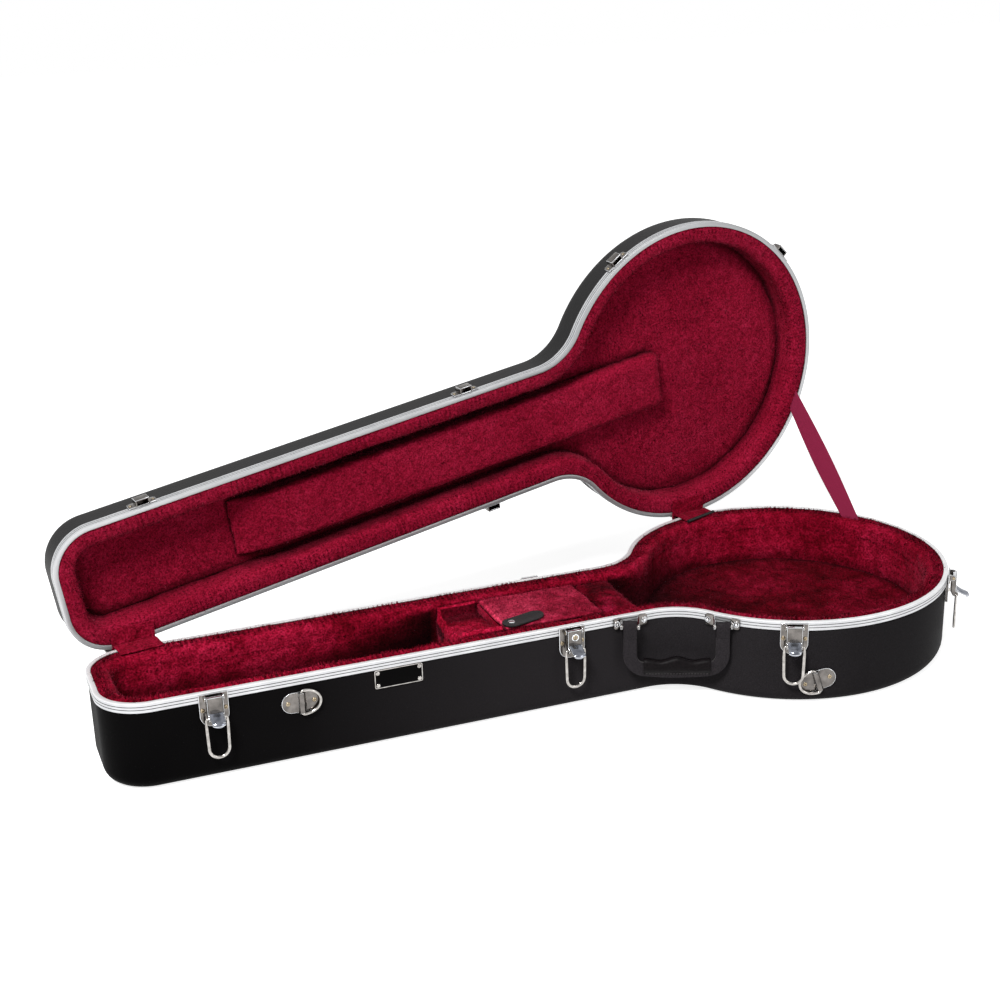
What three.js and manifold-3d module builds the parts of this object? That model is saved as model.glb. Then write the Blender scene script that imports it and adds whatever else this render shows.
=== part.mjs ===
// An open banjo case: a moulded base and lid in the outline of the instrument, with plush padding,
// draw latches, ring brackets, a carrying handle, a stay ribbon and an accessory compartment.
// Millimetres, +Z up. The origin is on the floor under the centre of the round body. +X points to
// the round end, +Y to the hinge side. The lid is modelled shut and then turned open.
import * as THREE from "three";
import Module from "manifold-3d";
import { mergeVertices } from "three/addons/utils/BufferGeometryUtils.js";

const wasm = await Module();
wasm.setup();

const degree = Math.PI / 180;
const rightAngle = 90 * degree;

// Fits and cuts
const clearance = 0.3;
const closingGap = 0.6;
const overrun = 6;

// Case outline in plan, on the inside of the rim
const bodyRadius = 190;
const neckHalfWidth = 71;
const neckEnd = 840;
const cornerRadius = 47;
const waistRadius = 72.5;
const bodySteps = 48;
const waistSteps = 5;
const cornerSteps = 4;

// Shells and rims
const baseDepth = 103;
const lidDepth = 51;
const shellWall = 2.5;
const baseRound = 15.9;
const lidRound = 14;
const roundSteps = 3;
const rimWidth = 5.5;
const rimSkirt = 10.6;
const rimSkirtWall = 1.2;
const rimTopWall = 1.5;

// Padding and blocks inside
const paddingWidth = 22;
const paddingDrop = 2;
const paddingRound = 9;
const wellDepth = 64;
const pocketDepth = 70;
const heelStart = 215;
const heelLength = 50;
const heelDrop = 6;
const heelRound = 6;
const compartmentLength = 124;
const compartmentWall = 2.5;
const compartmentLidHalfWidth = 47.5;
const compartmentLidDrop = 3;
const compartmentLidThickness = 6;
const compartmentLidBevel = 2;
const cradleLength = 52;
const cradleDrop = 0.5;
const cradleNotchHalfWidth = 38;
const cradleNotchDepth = 13;
const cradleBevel = 5;
const lidPanelDepth = 36;
const lidPadDepth = 15;
const lidPadHalfWidth = 38;
const lidPadBevel = 6;
const lidPadStart = 32;
const lidPadEnd = 634;

// Pull tab on the compartment lid
const tabLength = 42;
const tabWidth = 22;
const tabThickness = 1.6;
const tabPlaceX = 377.8;
const tabPlaceY = 37;
const tabTurn = 12 * degree;
const tabRivetRadius = 4;
const tabRivetHeight = 1.6;
const tabRivetShank = 1.8;

// Lid hinge
const openAngle = 87.1 * degree;
const hingeStandoff = 4.3;
const cornerStandoff = 3.2;
const hingeDrop = 9;
const knuckleRadius = 2.8;
const hingePinRadius = 1.2;
const hingeLength = 36;
const knuckleLength = 12;
const leafHeight = 24;
const leafThickness = 1.8;
const leafFootDepth = 16;
const pinHeadRadius = 2.2;
const pinHeadLength = 0.8;
const neckHingePlace = 775;
const bodyHingePlace = 0;

// Plush flaps over the hinges, and the stay ribbon
const flapLength = 50;
const neckFlapPlace = 760;
const bodyFlapPlace = 4;
const flapThickness = 1.2;
const flapReachIn = 27;
const flapReachUp = 29;
const ribbonWidth = 25;
const ribbonThickness = 1;
const ribbonBaseInset = 10.3;
const ribbonBaseAngle = 31.35 * degree;
const ribbonLidInset = 4.7;
const ribbonLidAngle = 28.7 * degree;

// Draw latches
const latchPlateWidth = 33;
const latchPlateTop = 1;
const latchPlateHeight = 37.5;
const latchPlateRound = 13;
const latchPlateThickness = 1.6;
const latchRivetPlace = 13;
const latchRivetDrop = 19;
const latchRivetRadius = 2.5;
const latchRivetHeight = 1.2;
const leverHalfWidth = 10;
const leverOut = 10.6;
const leverIn = 3.6;
const leverWall = 1.6;
const leverTop = 2.5;
const leverFaceEnd = 22;
const leverBackEnd = 22;
const leverSideEnd = 29.5;
const leverHeel = 7;
const leverPivotOut = 7;
const leverPivotDrop = 5;
const leverPivotRadius = 1.3;
const earWall = 1.5;
const earTop = 1.5;
const earEnd = 9;
const thumbHalfWidth = 7.5;
const thumbEnd = 27;
const thumbOut = 24;
const thumbLip = 2.5;
const bailWire = 1.8;
const bailWidth = 28.8;
const bailPivotOut = 11;
const bailPivotDrop = 25.5;
const bailEnd = 73;
const bailElbow = 2;
const bailStubStart = 7.8;
const lockRadius = 3.2;
const lockHeight = 2;
const lockDrop = 10.7;
const neckLatchPlace = 730;
const frontLatchBeforeWaist = 101.2;
const rearLatchBeforeWaist = 87.2;
const bodyLatchAngles = [-117.3 * degree, -37 * degree];

// Lid catches
const catchWidth = 33;
const catchBottom = 3;
const catchHeight = 13;
const catchHoodHalfWidth = 8;
const catchHoodOut = 8.5;
const catchWall = 1.5;

// Ring brackets and rings
const bracketLength = 43;
const bracketHeight = 24;
const bracketThickness = 1.6;
const bracketRivetSpacing = 29;
const bracketRivetRadius = 2.4;
const bracketRivetHeight = 0.9;
const saddleHalfWidth = 4;
const saddleWall = 1.3;
const ringWire = 1.7;
const ringSpan = 31.6;
const ringDepth = 22.5;
const neckRingPlace = 636.5;
const neckRingDrop = 31;
const bodyRingAngle = -109 * degree;
const bodyRingDrop = 72.5;
const bodyRingTilt = 17 * degree;

// Nameplate
const nameplatePlace = 526.5;
const nameplateWidth = 55;
const nameplateHeight = 22;
const nameplateDrop = 11;
const nameplateThickness = 1.8;
const nameplateRound = 2;
const nameplateScrewInset = 3.7;
const nameplateScrewRadius = 2.3;
const nameplateScrewHeight = 0.7;

// Carrying handle
const handleBeforeWaist = 34.7;
const handleNearStandoff = 10.5;
const handleFarStandoff = 5.8;
const handleDrop = 10;
const barRadius = 1.8;
const barOverhang = 0.8;
const strapWidth = 16;
const strapThickness = 4;
const strapSpan = 121.5;
const strapStart = 6.5;
const strapBottom = 73;
const strapRound = 26;
const strapInnerRound = 5;
const strapLoopRadius = 4;
const gripNearInset = 7.5;
const gripFarInset = 5.5;
const gripTop = 50;
const gripBottom = 72.5;
const gripThickness = 13;
const gripWave = 4.5;
const gripBarTop = 54;
const gripBarBottom = 68;
const bracketFootWidth = 11;
const bracketFootHeight = 13;
const bracketFootTop = 1.4;
const bracketFootThickness = 2;
const earThickness = 2;
const earGap = 0.8;
const handleRivetRadius = 3.2;
const bracketFootShift = 4.6;
const handleRivetHeight = 1.6;

// Shares of other sizes
const studTopShare = 0.6;
const paddingRoundShare = 0.29;
const gripWaveShares = [0.4, 0.05, 0.35, 1, 0.35, 0.05, 0.4];
const gripSectionShares = [
  [-0.4, 0], [0.4, 0], [0.6, 0.28], [1, 0.62], [0.85, 0.88], [0.4, 1], [-0.4, 1], [-0.85, 0.88], [-1, 0.62],
  [-0.6, 0.28],
];
const footRivetShare = 0.3;

// Sizes that follow
const shellOut = rimWidth - rimSkirtWall - clearance;
const shellIn = shellOut - shellWall;
const shellFace = shellOut - rimWidth;
const waistCentreY = neckHalfWidth + waistRadius;
const waistCentreX = -Math.sqrt((bodyRadius + waistRadius) ** 2 - waistCentreY ** 2);
const bodyAngle = Math.PI - Math.atan2(waistCentreY, -waistCentreX);
const cornerX = -(neckEnd - cornerRadius);
const cornerY = neckHalfWidth - cornerRadius;
const paddingInside = paddingWidth + clearance;
const insideHalfWidth = neckHalfWidth - paddingInside;
const axisDistance = bodyRadius + rimWidth + hingeStandoff;
const cornerReach = axisDistance - cornerRadius - rimWidth - cornerStandoff;
const axisTurn = Math.asin(cornerReach / Math.hypot(cornerX, cornerY)) - Math.atan2(cornerY, -cornerX);
const hingeBore = hingePinRadius + clearance;

// Colours
const colours = {
  baseShellPlastic: [0x161616, 0.6, 0],
  lidShellPlastic: [0x2a2829, 0.65, 0],
  rimAluminium: [0xd5d6d8, 0.3, 0.9],
  plush: [0x86102f, 0.95, 0],
  chrome: [0xa9a59c, 0.2, 1],
  rivetBrass: [0xb39a6a, 0.3, 1],
  strapLeather: [0x2b292b, 0.7, 0],
  gripLeather: [0x1c1b1c, 0.6, 0],
  tabLeather: [0x121112, 0.55, 0],
  ribbonCloth: [0x8c1c40, 0.8, 0],
  nameplateFace: [0x0c0c0d, 0.35, 0.2],
};

function materialOf(name) {
  const [color, roughness, metalness] = colours[name];
  const material = new THREE.MeshStandardMaterial({ color, roughness, metalness });
  material.name = name;
  return material;
}

const group = new THREE.Group();
group.name = "banjo_case";

function addNode(name, solid, colour) {
  const geometry = solid.isBufferGeometry ? solid : geometryOf(solid);
  geometry.computeVertexNormals();
  const mesh = new THREE.Mesh(geometry, materialOf(colour));
  mesh.name = name;
  group.add(mesh);
}

// Closed surfaces from rings of points
function capTriangles(ring) {
  const normal = new THREE.Vector3();
  ring.forEach((point, i) => {
    const next = ring[(i + 1) % ring.length];
    normal.x += (point.y - next.y) * (point.z + next.z);
    normal.y += (point.z - next.z) * (point.x + next.x);
    normal.z += (point.x - next.x) * (point.y + next.y);
  });
  normal.normalize();
  const helper = Math.abs(normal.z) > Math.SQRT1_2 ? new THREE.Vector3(1, 0, 0) : new THREE.Vector3(0, 0, 1);
  const across = helper.cross(normal).normalize();
  const up = normal.clone().cross(across);
  const flat = ring.map((point) => new THREE.Vector2(point.dot(across), point.dot(up)));
  return THREE.ShapeUtils.triangulateShape(flat, []).map(([a, b, c]) => {
    const turn = flat[b].clone().sub(flat[a]).cross(flat[c].clone().sub(flat[a]));
    return turn > 0 ? [a, b, c] : [a, c, b];
  });
}

function surfaceOf(points, triangles) {
  const geometry = new THREE.BufferGeometry();
  const positions = points.flatMap((point) => [point.x, point.y, point.z]);
  geometry.setAttribute("position", new THREE.Float32BufferAttribute(positions, 3));
  geometry.setIndex(triangles.flat());
  return facingOut(geometry);
}

function facingOut(geometry) {
  const place = geometry.attributes.position;
  const index = geometry.index.array;
  const [a, b, c] = [new THREE.Vector3(), new THREE.Vector3(), new THREE.Vector3()];
  let volume = 0;
  for (let i = 0; i < index.length; i += 3) {
    a.fromBufferAttribute(place, index[i]);
    b.fromBufferAttribute(place, index[i + 1]);
    c.fromBufferAttribute(place, index[i + 2]);
    volume += a.dot(b.cross(c));
  }
  if (volume < 0) {
    for (let i = 0; i < index.length; i += 3) {
      [index[i + 1], index[i + 2]] = [index[i + 2], index[i + 1]];
    }
  }
  return geometry;
}

function loft(rings, joined = false) {
  const count = rings[0].length;
  const triangles = [];
  const bands = joined ? rings.length : rings.length - 1;
  for (let band = 0; band < bands; band += 1) {
    const low = band * count;
    const high = ((band + 1) % rings.length) * count;
    for (let i = 0; i < count; i += 1) {
      const next = (i + 1) % count;
      triangles.push([low + i, low + next, high + next], [low + i, high + next, high + i]);
    }
  }
  if (!joined) {
    const last = (rings.length - 1) * count;
    capTriangles(rings[0]).forEach(([a, b, c]) => triangles.push([a, c, b]));
    capTriangles(rings[rings.length - 1]).forEach(([a, b, c]) => triangles.push([last + a, last + b, last + c]));
  }
  return surfaceOf(rings.flat(), triangles);
}

function solidOf(geometry) {
  const bare = geometry.clone();
  bare.deleteAttribute("normal");
  bare.deleteAttribute("uv");
  const merged = mergeVertices(bare);
  const vertProperties = new Float32Array(merged.attributes.position.array);
  const triVerts = new Uint32Array(merged.index.array);
  return new wasm.Manifold(new wasm.Mesh({ numProp: 3, vertProperties, triVerts }));
}

function geometryOf(solid) {
  const mesh = solid.getMesh();
  const geometry = new THREE.BufferGeometry();
  geometry.setAttribute("position", new THREE.Float32BufferAttribute(mesh.vertProperties, 3));
  geometry.setIndex(new THREE.Uint32BufferAttribute(mesh.triVerts, 1));
  return geometry;
}

function joinAll(pieces) {
  return pieces.map(solidOf).reduce((whole, piece) => whole.add(piece));
}

function cutAll(solid, tools) {
  return tools.map(solidOf).reduce((whole, tool) => whole.subtract(tool), solid);
}

// A frame on a wall: along the wall, out of it, and up, with its origin at the rim's height
function frameAt(origin, out, up = new THREE.Vector3(0, 0, 1)) {
  return { origin, out, up, along: up.clone().cross(out) };
}

function pointIn(frame, along, out, up) {
  return frame.origin.clone().addScaledVector(frame.along, along).addScaledVector(frame.out, out)
    .addScaledVector(frame.up, up);
}

function frontFrame(x) {
  const origin = new THREE.Vector3(-x, -neckHalfWidth - rimWidth, baseDepth);
  return frameAt(origin, new THREE.Vector3(0, -1, 0));
}

function rearFrame(x) {
  const origin = new THREE.Vector3(-x, neckHalfWidth + rimWidth, baseDepth);
  return frameAt(origin, new THREE.Vector3(0, 1, 0));
}

function bodyFrame(angle) {
  const out = new THREE.Vector3(Math.cos(angle), Math.sin(angle), 0);
  const origin = out.clone().multiplyScalar(bodyRadius + rimWidth);
  origin.z = baseDepth;
  return frameAt(origin, out);
}

// An outline in (along, up) pushed outwards, and an outline in (out, up) pushed along
function plateIn(frame, outline, from, to) {
  return loft([from, to].map((out) => outline.map(([along, up]) => pointIn(frame, along, out, up))));
}

function barIn(frame, outline, from, to) {
  return loft([from, to].map((along) => outline.map(([out, up]) => pointIn(frame, along, out, up))));
}

function rectangle(left, right, low, high) {
  return [[left, low], [right, low], [right, high], [left, high]];
}

function circlePoints(x, y, radius, count) {
  return Array.from({ length: count }, (unused, i) => {
    const angle = (2 * Math.PI * (i + 0.5)) / count;
    return [x + radius * Math.cos(angle), y + radius * Math.sin(angle)];
  });
}

function arcPoints(x, y, radius, from, to, steps) {
  return Array.from({ length: steps + 1 }, (unused, i) => {
    const angle = from + ((to - from) * i) / steps;
    return [x + radius * Math.cos(angle), y + radius * Math.sin(angle)];
  });
}

function boxIn(frame, left, right, inside, outside, low, high) {
  return plateIn(frame, rectangle(left, right, low, high), inside, outside);
}

function pegIn(frame, out, up, radius, from, to, count = 10) {
  return barIn(frame, circlePoints(out, up, radius, count), from, to);
}

function studIn(frame, along, up, radius, from, to, count = 8) {
  const edge = (from + 2 * to) / 3;
  const sizes = [[from, radius], [edge, radius], [to, radius * studTopShare]];
  return loft(sizes.map(([out, size]) => circlePoints(along, up, size, count)
    .map(([x, y]) => pointIn(frame, x, out, y))));
}

// A round wire through points that lie in one plane of the frame, given as (along, up)
function wireIn(frame, path, out, radius, joined = false, sides = 6) {
  const rings = path.map(([along, up], i) => {
    const last = path.length - 1;
    const before = path[joined ? (i + last) % path.length : Math.max(i - 1, 0)];
    const after = path[joined ? (i + 1) % path.length : Math.min(i + 1, last)];
    const here = new THREE.Vector2(along, up);
    const arriving = here.clone().sub(new THREE.Vector2(...before)).normalize();
    const leaving = new THREE.Vector2(...after).sub(here).normalize();
    const travel = arriving.clone().add(leaving).normalize();
    const known = arriving.length() > 0 ? arriving : leaving;
    const stretch = 1 / Math.max(travel.dot(known), Math.SQRT1_2);
    return circlePoints(0, 0, radius, sides).map(([side, lift]) => (
      pointIn(frame, along - travel.y * side * stretch, out + lift, up + travel.x * side * stretch)
    ));
  });
  return loft(rings, joined);
}

// Plan outline of the case, grown by an offset
function outlineLoop(offset) {
  const round = bodyRadius + offset;
  const hollow = waistRadius - offset;
  const corner = cornerRadius + offset;
  return [
    ...arcPoints(0, 0, round, -bodyAngle, bodyAngle, bodySteps),
    ...arcPoints(waistCentreX, waistCentreY, hollow, bodyAngle - Math.PI, -rightAngle, waistSteps).slice(1),
    ...arcPoints(cornerX, cornerY, corner, rightAngle, Math.PI, cornerSteps),
    ...arcPoints(cornerX, -cornerY, corner, Math.PI, 3 * rightAngle, cornerSteps),
    ...arcPoints(waistCentreX, -waistCentreY, hollow, rightAngle, Math.PI - bodyAngle, waistSteps).slice(0, -1),
  ];
}

function outlineRing(offset, height) {
  return outlineLoop(offset).map(([x, y]) => new THREE.Vector3(x, y, height));
}

function sweepOutline(profile, joined = false) {
  return loft(profile.map(([offset, height]) => outlineRing(offset, height)), joined);
}

function clippedLoop(offset, edge, keepRight) {
  const loop = outlineLoop(offset);
  const keeps = ([x]) => (keepRight ? x > edge : x < edge);
  return loop.flatMap((point, i) => {
    const next = loop[(i + 1) % loop.length];
    const kept = keeps(point) ? [point] : [];
    if (keeps(point) !== keeps(next)) {
      const share = (edge - point[0]) / (next[0] - point[0]);
      kept.push([edge, point[1] + share * (next[1] - point[1])]);
    }
    return kept;
  });
}

function prism(outline, low, high) {
  return loft([low, high].map((z) => outline.map(([x, y]) => new THREE.Vector3(x, y, z))));
}

function block(x0, x1, y0, y1, z0, z1) {
  return prism(rectangle(x0, x1, y0, y1), z0, z1);
}

// Turning between the shut lid and the open lid
const hingeAxis = new THREE.Vector3(Math.cos(axisTurn), Math.sin(axisTurn), 0);
const hingeOut = new THREE.Vector3(-Math.sin(axisTurn), Math.cos(axisTurn), 0);
const hingePoint = hingeOut.clone().multiplyScalar(axisDistance);
hingePoint.z = baseDepth - hingeDrop;
const opening = new THREE.Matrix4().makeTranslation(hingePoint)
  .multiply(new THREE.Matrix4().makeRotationAxis(hingeAxis, -openAngle))
  .multiply(new THREE.Matrix4().makeTranslation(hingePoint.clone().negate()));

function opened(solid) {
  const geometry = solid.isBufferGeometry ? solid : geometryOf(solid);
  return geometry.applyMatrix4(opening);
}

function upsideDown(geometry, depth) {
  const flip = new THREE.Matrix4().makeScale(1, 1, -1);
  flip.setPosition(0, 0, baseDepth + closingGap + depth);
  return facingOut(geometry.applyMatrix4(flip));
}

// The shut case as one solid block, to seat hardware on
function caseBlock() {
  const band = rimSkirt + clearance;
  const high = baseDepth + lidDepth + overrun;
  const walls = prism(outlineLoop(shellOut + clearance), -overrun, high);
  const rims = prism(outlineLoop(rimWidth + clearance), baseDepth - band, baseDepth + closingGap + band);
  return joinAll([walls, rims]);
}

const seat = caseBlock();

// Shells, rims and padding, shared by base and lid
function shell(depth, round) {
  const top = depth - rimTopWall - clearance;
  const outside = arcPoints(shellOut - round, round, round, -rightAngle, 0, roundSteps);
  const inside = arcPoints(shellOut - round, round, round - shellWall, 0, -rightAngle, roundSteps);
  return sweepOutline([...outside, [shellOut, top], [shellIn, top], ...inside]);
}

function rim(depth) {
  const inner = rimWidth - rimSkirtWall;
  const corners = [[0, 0], [rimWidth, 0], [rimWidth, rimSkirt], [inner, rimSkirt], [inner, rimTopWall], [0, rimTopWall]];
  return sweepOutline(corners.map(([offset, drop]) => [offset, depth - drop]), true);
}

function sidePadding(depth, round) {
  const outer = shellIn - clearance;
  const low = shellWall + clearance;
  const top = depth - paddingDrop;
  const soft = paddingRound * paddingRoundShare;
  return sweepOutline([
    [outer, round], [outer, top], [paddingRound - paddingWidth, top], [soft - paddingWidth, top - soft],
    [-paddingWidth, top - paddingRound], [-paddingWidth, low], [shellIn - round, low],
  ], true);
}

function buildBase() {
  const low = shellWall + clearance;
  const heelEdge = -heelStart;
  addNode("base_shell", shell(baseDepth, baseRound), "baseShellPlastic");
  addNode("base_rim", rim(baseDepth), "rimAluminium");
  addNode("base_side_padding", sidePadding(baseDepth, baseRound), "plush");
  const well = clippedLoop(-paddingInside, heelEdge + clearance, true);
  addNode("base_well_pad", prism(well, low, baseDepth - wellDepth), "plush");
  const neck = clippedLoop(-paddingInside, heelEdge, false);
  addNode("base_neck_pad", prism(neck, low, baseDepth - pocketDepth), "plush");
}

function acrossNeck(outline, x0, x1) {
  return loft([x0, x1].map((x) => outline.map(([y, z]) => new THREE.Vector3(x, y, z))));
}

function buildBlocks() {
  const low = baseDepth - pocketDepth + clearance;
  const heelX = -heelStart - heelLength;
  const boxX = heelX - clearance - compartmentLength;
  const cradleX = boxX - clearance - cradleLength;
  const half = insideHalfWidth;
  const heelTop = baseDepth - heelDrop;
  const heel = loft([-half, half].map((y) => [
    [heelX, low], [-heelStart, low], [-heelStart, heelTop - heelRound], [-heelStart - heelRound, heelTop],
    [heelX, heelTop],
  ].map(([x, z]) => new THREE.Vector3(x, y, z))));
  addNode("heel_block", heel, "plush");
  const cradleTop = baseDepth - cradleDrop;
  const notchLow = cradleTop - cradleNotchDepth;
  const notch = cradleNotchHalfWidth;
  const cradle = acrossNeck([
    [-half, low], [half, low], [half, cradleTop - cradleBevel], [half - cradleBevel, cradleTop],
    [notch, cradleTop], [notch - cradleBevel, notchLow], [cradleBevel - notch, notchLow], [-notch, cradleTop],
    [cradleBevel - half, cradleTop], [-half, cradleTop - cradleBevel],
  ], cradleX, boxX - clearance);
  addNode("cradle_block", cradle, "plush");
  const lidTop = baseDepth - compartmentLidDrop;
  const lidLow = lidTop - compartmentLidThickness;
  const wall = compartmentWall;
  const whole = block(boxX, heelX - clearance, -half, half, low, lidLow - clearance);
  const hollow = block(boxX + wall, heelX - clearance - wall, wall - half, half - wall, low + wall, lidTop);
  addNode("compartment_box", cutAll(solidOf(whole), [hollow]), "plush");
  const side = compartmentLidHalfWidth;
  const bevel = compartmentLidBevel;
  const cover = acrossNeck([
    [-side, lidLow], [side, lidLow], [side, lidTop - bevel], [side - bevel, lidTop], [bevel - side, lidTop],
    [-side, lidTop - bevel],
  ], boxX, heelX - clearance);
  addNode("compartment_lid", cover, "plush");
}

function buildPullTab() {
  const top = baseDepth - compartmentLidDrop + clearance;
  const frame = frameAt(new THREE.Vector3(-tabPlaceX, -tabPlaceY, top), new THREE.Vector3(0, 0, 1),
    new THREE.Vector3(-Math.sin(tabTurn), Math.cos(tabTurn), 0));
  const half = tabWidth / 2;
  const tail = half / 2;
  const outline = [
    ...arcPoints(0, 0, half, rightAngle, 3 * rightAngle, cornerSteps),
    ...arcPoints(tabLength - tail, tail - half, tail, -rightAngle, 0, roundSteps),
    ...arcPoints(tabLength - tail, half - tail, tail, 0, rightAngle, roundSteps),
  ];
  const sheet = solidOf(plateIn(frame, outline, 0, tabThickness));
  const hole = plateIn(frame, circlePoints(0, 0, tabRivetShank + clearance, 10), -overrun, overrun);
  addNode("pull_tab", cutAll(sheet, [hole]), "tabLeather");
  const headLow = tabThickness + clearance;
  const head = studIn(frame, 0, 0, tabRivetRadius, headLow, headLow + tabRivetHeight, 10);
  const shank = plateIn(frame, circlePoints(0, 0, tabRivetShank, 8), 0, headLow + clearance);
  addNode("pull_tab_rivet", joinAll([head, shank]), "chrome");
}

function buildLid() {
  const half = lidPadHalfWidth;
  const bevel = lidPadBevel;
  addNode("lid_shell", opened(upsideDown(shell(lidDepth, lidRound), lidDepth)), "lidShellPlastic");
  addNode("lid_rim", opened(upsideDown(rim(lidDepth), lidDepth)), "rimAluminium");
  addNode("lid_side_padding", opened(upsideDown(sidePadding(lidDepth, lidRound), lidDepth)), "plush");
  const low = shellWall + clearance;
  const panelTop = lidDepth - lidPanelDepth;
  addNode("lid_panel_pad", opened(upsideDown(prism(outlineLoop(-paddingInside), low, panelTop), lidDepth)), "plush");
  const padTop = lidDepth - lidPadDepth;
  const raised = acrossNeck([
    [-half, panelTop + clearance], [half, panelTop + clearance], [half, padTop - bevel], [half - bevel, padTop],
    [bevel - half, padTop], [-half, padTop - bevel],
  ], -lidPadEnd, -lidPadStart);
  addNode("lid_neck_pad", opened(upsideDown(raised, lidDepth)), "plush");
}

// Hinges between base and lid
function hingeFrame(place) {
  const origin = hingePoint.clone().addScaledVector(hingeAxis, place);
  return { origin, out: hingeOut, up: new THREE.Vector3(0, 0, 1), along: hingeAxis };
}

function leaf(frame, way, knuckles) {
  const half = hingeLength / 2;
  const face = leafThickness - hingeStandoff + clearance;
  const clearOfKnuckle = knuckleRadius + clearance;
  const ends = [way * clearOfKnuckle, way * leafHeight].sort((a, b) => a - b);
  const pieces = [boxIn(frame, -half, half, -leafFootDepth, face, ...ends)];
  knuckles.forEach(([from, to]) => {
    pieces.push(pegIn(frame, 0, 0, knuckleRadius, from, to, 12));
    const web = [0, way * (clearOfKnuckle + leafThickness)].sort((a, b) => a - b);
    pieces.push(boxIn(frame, from, to, -knuckleRadius - clearance, face, ...web));
  });
  const bore = pegIn(frame, 0, 0, hingeBore, -half - overrun, half + overrun);
  return cutAll(joinAll(pieces), [bore]).subtract(seat);
}

function buildHinge(name, place) {
  const frame = hingeFrame(place);
  const half = hingeLength / 2;
  const middle = knuckleLength / 2;
  const sideStart = middle + clearance;
  addNode(`${name}_base_leaf`, leaf(frame, -1, [[-middle, middle]]), "chrome");
  const lidLeaf = leaf(frame, 1, [[-half, -sideStart], [sideStart, half]]);
  addNode(`${name}_lid_leaf`, opened(lidLeaf), "chrome");
  const headStart = half + clearance;
  const pin = joinAll([
    pegIn(frame, 0, 0, hingePinRadius, -headStart - pinHeadLength, headStart + pinHeadLength, 8),
    pegIn(frame, 0, 0, pinHeadRadius, -headStart - pinHeadLength, -headStart),
    pegIn(frame, 0, 0, pinHeadRadius, headStart, headStart + pinHeadLength),
  ]);
  addNode(`${name}_pin`, pin, "chrome");
}

function buildFlap(name, place) {
  const frame = hingeFrame(place);
  const half = flapLength / 2;
  const low = hingeDrop + clearance;
  const high = low + flapThickness;
  const rimPlane = hingeDrop + closingGap;
  const bend = rimPlane - clearance;
  const lower = boxIn(frame, -half, half, -flapReachIn, bend - flapThickness / 2, low, high);
  const upper = opened(boxIn(frame, -half, half, -flapReachUp, -low + clearance, bend - flapThickness, bend));
  addNode(name, joinAll([lower, upper]), "plush");
}

function ribbonEnd(inset, angle, height) {
  const outward = new THREE.Vector3(Math.cos(angle), Math.sin(angle), 0);
  const middle = outward.clone().multiplyScalar(bodyRadius - inset).setZ(height);
  const sideways = new THREE.Vector3(-outward.y, outward.x, 0);
  return rectangle(-ribbonThickness / 2, ribbonThickness / 2, -ribbonWidth / 2, ribbonWidth / 2)
    .map(([thick, wide]) => middle.clone().addScaledVector(outward, thick).addScaledVector(sideways, wide));
}

function buildRibbon() {
  const seated = paddingDrop - clearance;
  const low = ribbonEnd(ribbonBaseInset, ribbonBaseAngle, baseDepth - seated);
  const high = ribbonEnd(ribbonLidInset, ribbonLidAngle, baseDepth + closingGap + seated);
  addNode("stay_ribbon", loft([low, high.map((point) => point.applyMatrix4(opening))]), "ribbonCloth");
}

// Draw latches and catches
function latchPlate(frame) {
  const half = latchPlateWidth / 2;
  const round = latchPlateRound;
  const low = -latchPlateTop - latchPlateHeight;
  const outline = [
    [-half, -latchPlateTop],
    ...arcPoints(round - half, low + round, round, Math.PI, 3 * rightAngle, roundSteps),
    ...arcPoints(half - round, low + round, round, 3 * rightAngle, 4 * rightAngle, roundSteps),
    [half, -latchPlateTop],
  ];
  const pieces = [plateIn(frame, outline, -overrun, latchPlateThickness + clearance)];
  const earIn = leverHalfWidth + clearance;
  const earOut = leverPivotOut + leverPivotRadius + clearance + earWall / 2;
  [-1, 1].forEach((side) => {
    const edges = [side * earIn, side * (earIn + earWall)].sort((a, b) => a - b);
    pieces.push(boxIn(frame, ...edges, 0, earOut, -earEnd, -earTop));
    const head = latchPlateThickness + clearance;
    const stud = [side * latchRivetPlace, -latchRivetDrop, latchRivetRadius];
    pieces.push(studIn(frame, ...stud, 0, head + latchRivetHeight));
  });
  const bore = leverPivotRadius + clearance;
  const hole = pegIn(frame, leverPivotOut, -leverPivotDrop, bore, -half, half, 8);
  return cutAll(joinAll(pieces), [hole]).subtract(seat);
}

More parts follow.
